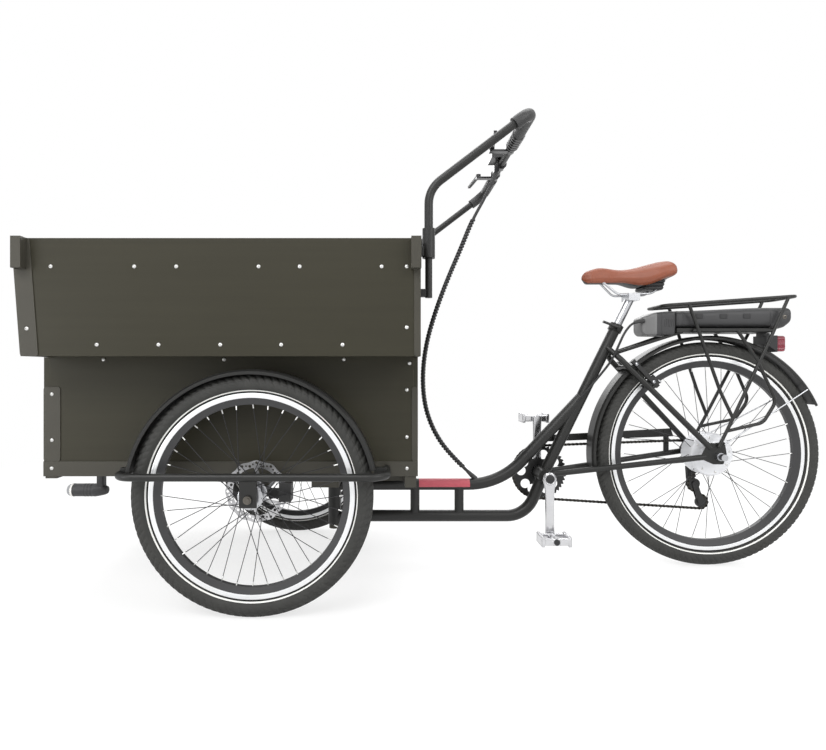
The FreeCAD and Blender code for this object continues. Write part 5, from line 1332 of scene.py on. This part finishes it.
# %% Battery lead
LEAD_ROUTE = [(619, -34, 764), (587, -40, 762), (557, -46, 732), (537, -46, 688), (519, -40, 642),
              (480, -28, 588), (440, -25, 540), (404, -8, 494)]
lead = smooth_line("battery_cable", LEAD_ROUTE, 3.5)
lead.data.materials.append(cable_sheath)
lead_points = line_points(lead)
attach(lead, "rear_frame")
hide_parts("battery_lead")
lead_boot = boot("lead_boot", lead_points, 34, 6.6, 4.1, "rear_frame")
print("battery lead", round(measure(lead_points), 3), "m")

# %% [markdown]
# The studio has a white background. Rays from the camera, off shiny pieces and through clear ones see
# it, while the light that falls on the object is set apart from it, so a colour renders about as it is
# written. The floor keeps the shadow near the wheels and fades to white paper further out.


# %% Floor
def background_share(tree):
    """One for rays from the camera, off a shiny piece or through a clear one, nought for the others."""
    path = tree.nodes.new("ShaderNodeLightPath")
    share = path.outputs["Is Camera Ray"]
    for kind in ("Is Glossy Ray", "Is Transmission Ray"):
        share = wired(tree, "ShaderNodeMath", {0: share, 1: path.outputs[kind]}, operation="MAXIMUM")
    return share


FADE = {"From Min": 1.3, "From Max": 3.2}
FLOOR_HALF = 30
corners = [(x * FLOOR_HALF, y * FLOOR_HALF, 0) for x, y in ((-1, -1), (1, -1), (1, 1), (-1, 1))]
floor_mesh = bpy.data.meshes.new("studio_floor")
floor_mesh.from_pydata(corners, [], [(0, 1, 2, 3)])
floor = shown("studio_floor", floor_mesh)
floor_paint = bpy.data.materials.new("studio_floor")
floor_paint.use_nodes = True
tree = floor_paint.node_tree
tree.nodes.remove(tree.nodes["Principled BSDF"])
matt = wired(tree, "ShaderNodeBsdfDiffuse", {"Color": (0.9, 0.9, 0.9, 1)})
shadowed = wired(tree, "ShaderNodeBsdfDiffuse", {"Color": (0.3, 0.3, 0.3, 1)})
glow = wired(tree, "ShaderNodeEmission", {"Strength": 0.72})
near = wired(tree, "ShaderNodeAddShader", {0: shadowed, 1: glow})
spot = wired(tree, "ShaderNodeNewGeometry", {}, "Position")
reach = wired(tree, "ShaderNodeVectorMath", {0: spot}, "Value", operation="LENGTH")
fade = wired(tree, "ShaderNodeMapRange", {"Value": reach, **FADE})
paper = wired(tree, "ShaderNodeEmission", {})
seen = wired(tree, "ShaderNodeMixShader", {0: fade, 1: near, 2: paper})
chosen = wired(tree, "ShaderNodeMixShader", {0: background_share(tree), 1: matt, 2: seen})
fed(tree, tree.nodes["Material Output"], {"Surface": chosen})
floor_mesh.materials.append(floor_paint)
print("the floor fades to white in metres:", list(FADE.values()))

# %% [markdown]
# The air lights the object from all round, more from above than from near the floor, as in a room with
# a pale ceiling. What the camera and the shiny pieces see of it is plain white.

# %% Air
SKY = {"From Min": -0.25, "From Max": 0.55, "To Min": 0.22, "To Max": 1.0}
world = bpy.data.worlds.new("studio_air")
bpy.context.scene.world = world
world.use_nodes = True
air = world.node_tree
air.nodes.remove(air.nodes["Background"])
direction = wired(air, "ShaderNodeTexCoord", {}, "Generated")
upward = wired(air, "ShaderNodeSeparateXYZ", {0: direction}, "Z")
height = wired(air, "ShaderNodeMapRange", {"Value": upward, **SKY}, interpolation_type="SMOOTHSTEP")
fill = wired(air, "ShaderNodeBackground", {"Color": height, "Strength": 0.75})
white = wired(air, "ShaderNodeBackground", {"Color": (1, 1, 1, 1), "Strength": 1.0})
chosen = wired(air, "ShaderNodeMixShader", {0: background_share(air), 1: fill, 2: white})
fed(air, air.nodes["World Output"], {"Surface": chosen})
print("light from above and below:", SKY["To Max"], SKY["To Min"])

# %% [markdown]
# Five soft boxes give long soft highlights on the dark paint: a key in front and above, a small one
# low at the side for the box's front corner, a fill, one overhead and one behind for the edges.


# %% Studio lamps
def soft_lamp(name, place, aim, width, height, power):
    """A rectangular soft box that looks at a point."""
    data = bpy.data.lights.new(name, "AREA")
    data.shape = "RECTANGLE"
    data.size = width
    data.size_y = height
    data.energy = power
    lamp = shown(name, data)
    lamp.location = place
    look = Vector(aim) - Vector(place)
    lamp.rotation_euler = look.to_track_quat("-Z", "Y").to_euler()


MIDDLE = (0, 0, 0.6)
soft_lamp("key_box", (-1.6, -3.2, 3.6), MIDDLE, 3.0, 2.0, 110)
soft_lamp("side_box", (-2.5, -1.7, 0.7), (-0.8, -0.4, 0.6), 0.8, 1.2, 15)
soft_lamp("fill_box", (2.6, -2.6, 2.4), MIDDLE, 2.4, 2.0, 55)
soft_lamp("top_box", (0, 0.6, 4.2), MIDDLE, 4.0, 2.0, 90)
soft_lamp("back_box", (0.5, 3.6, 2.6), MIDDLE, 3.0, 2.0, 60)
print("soft boxes: 5")
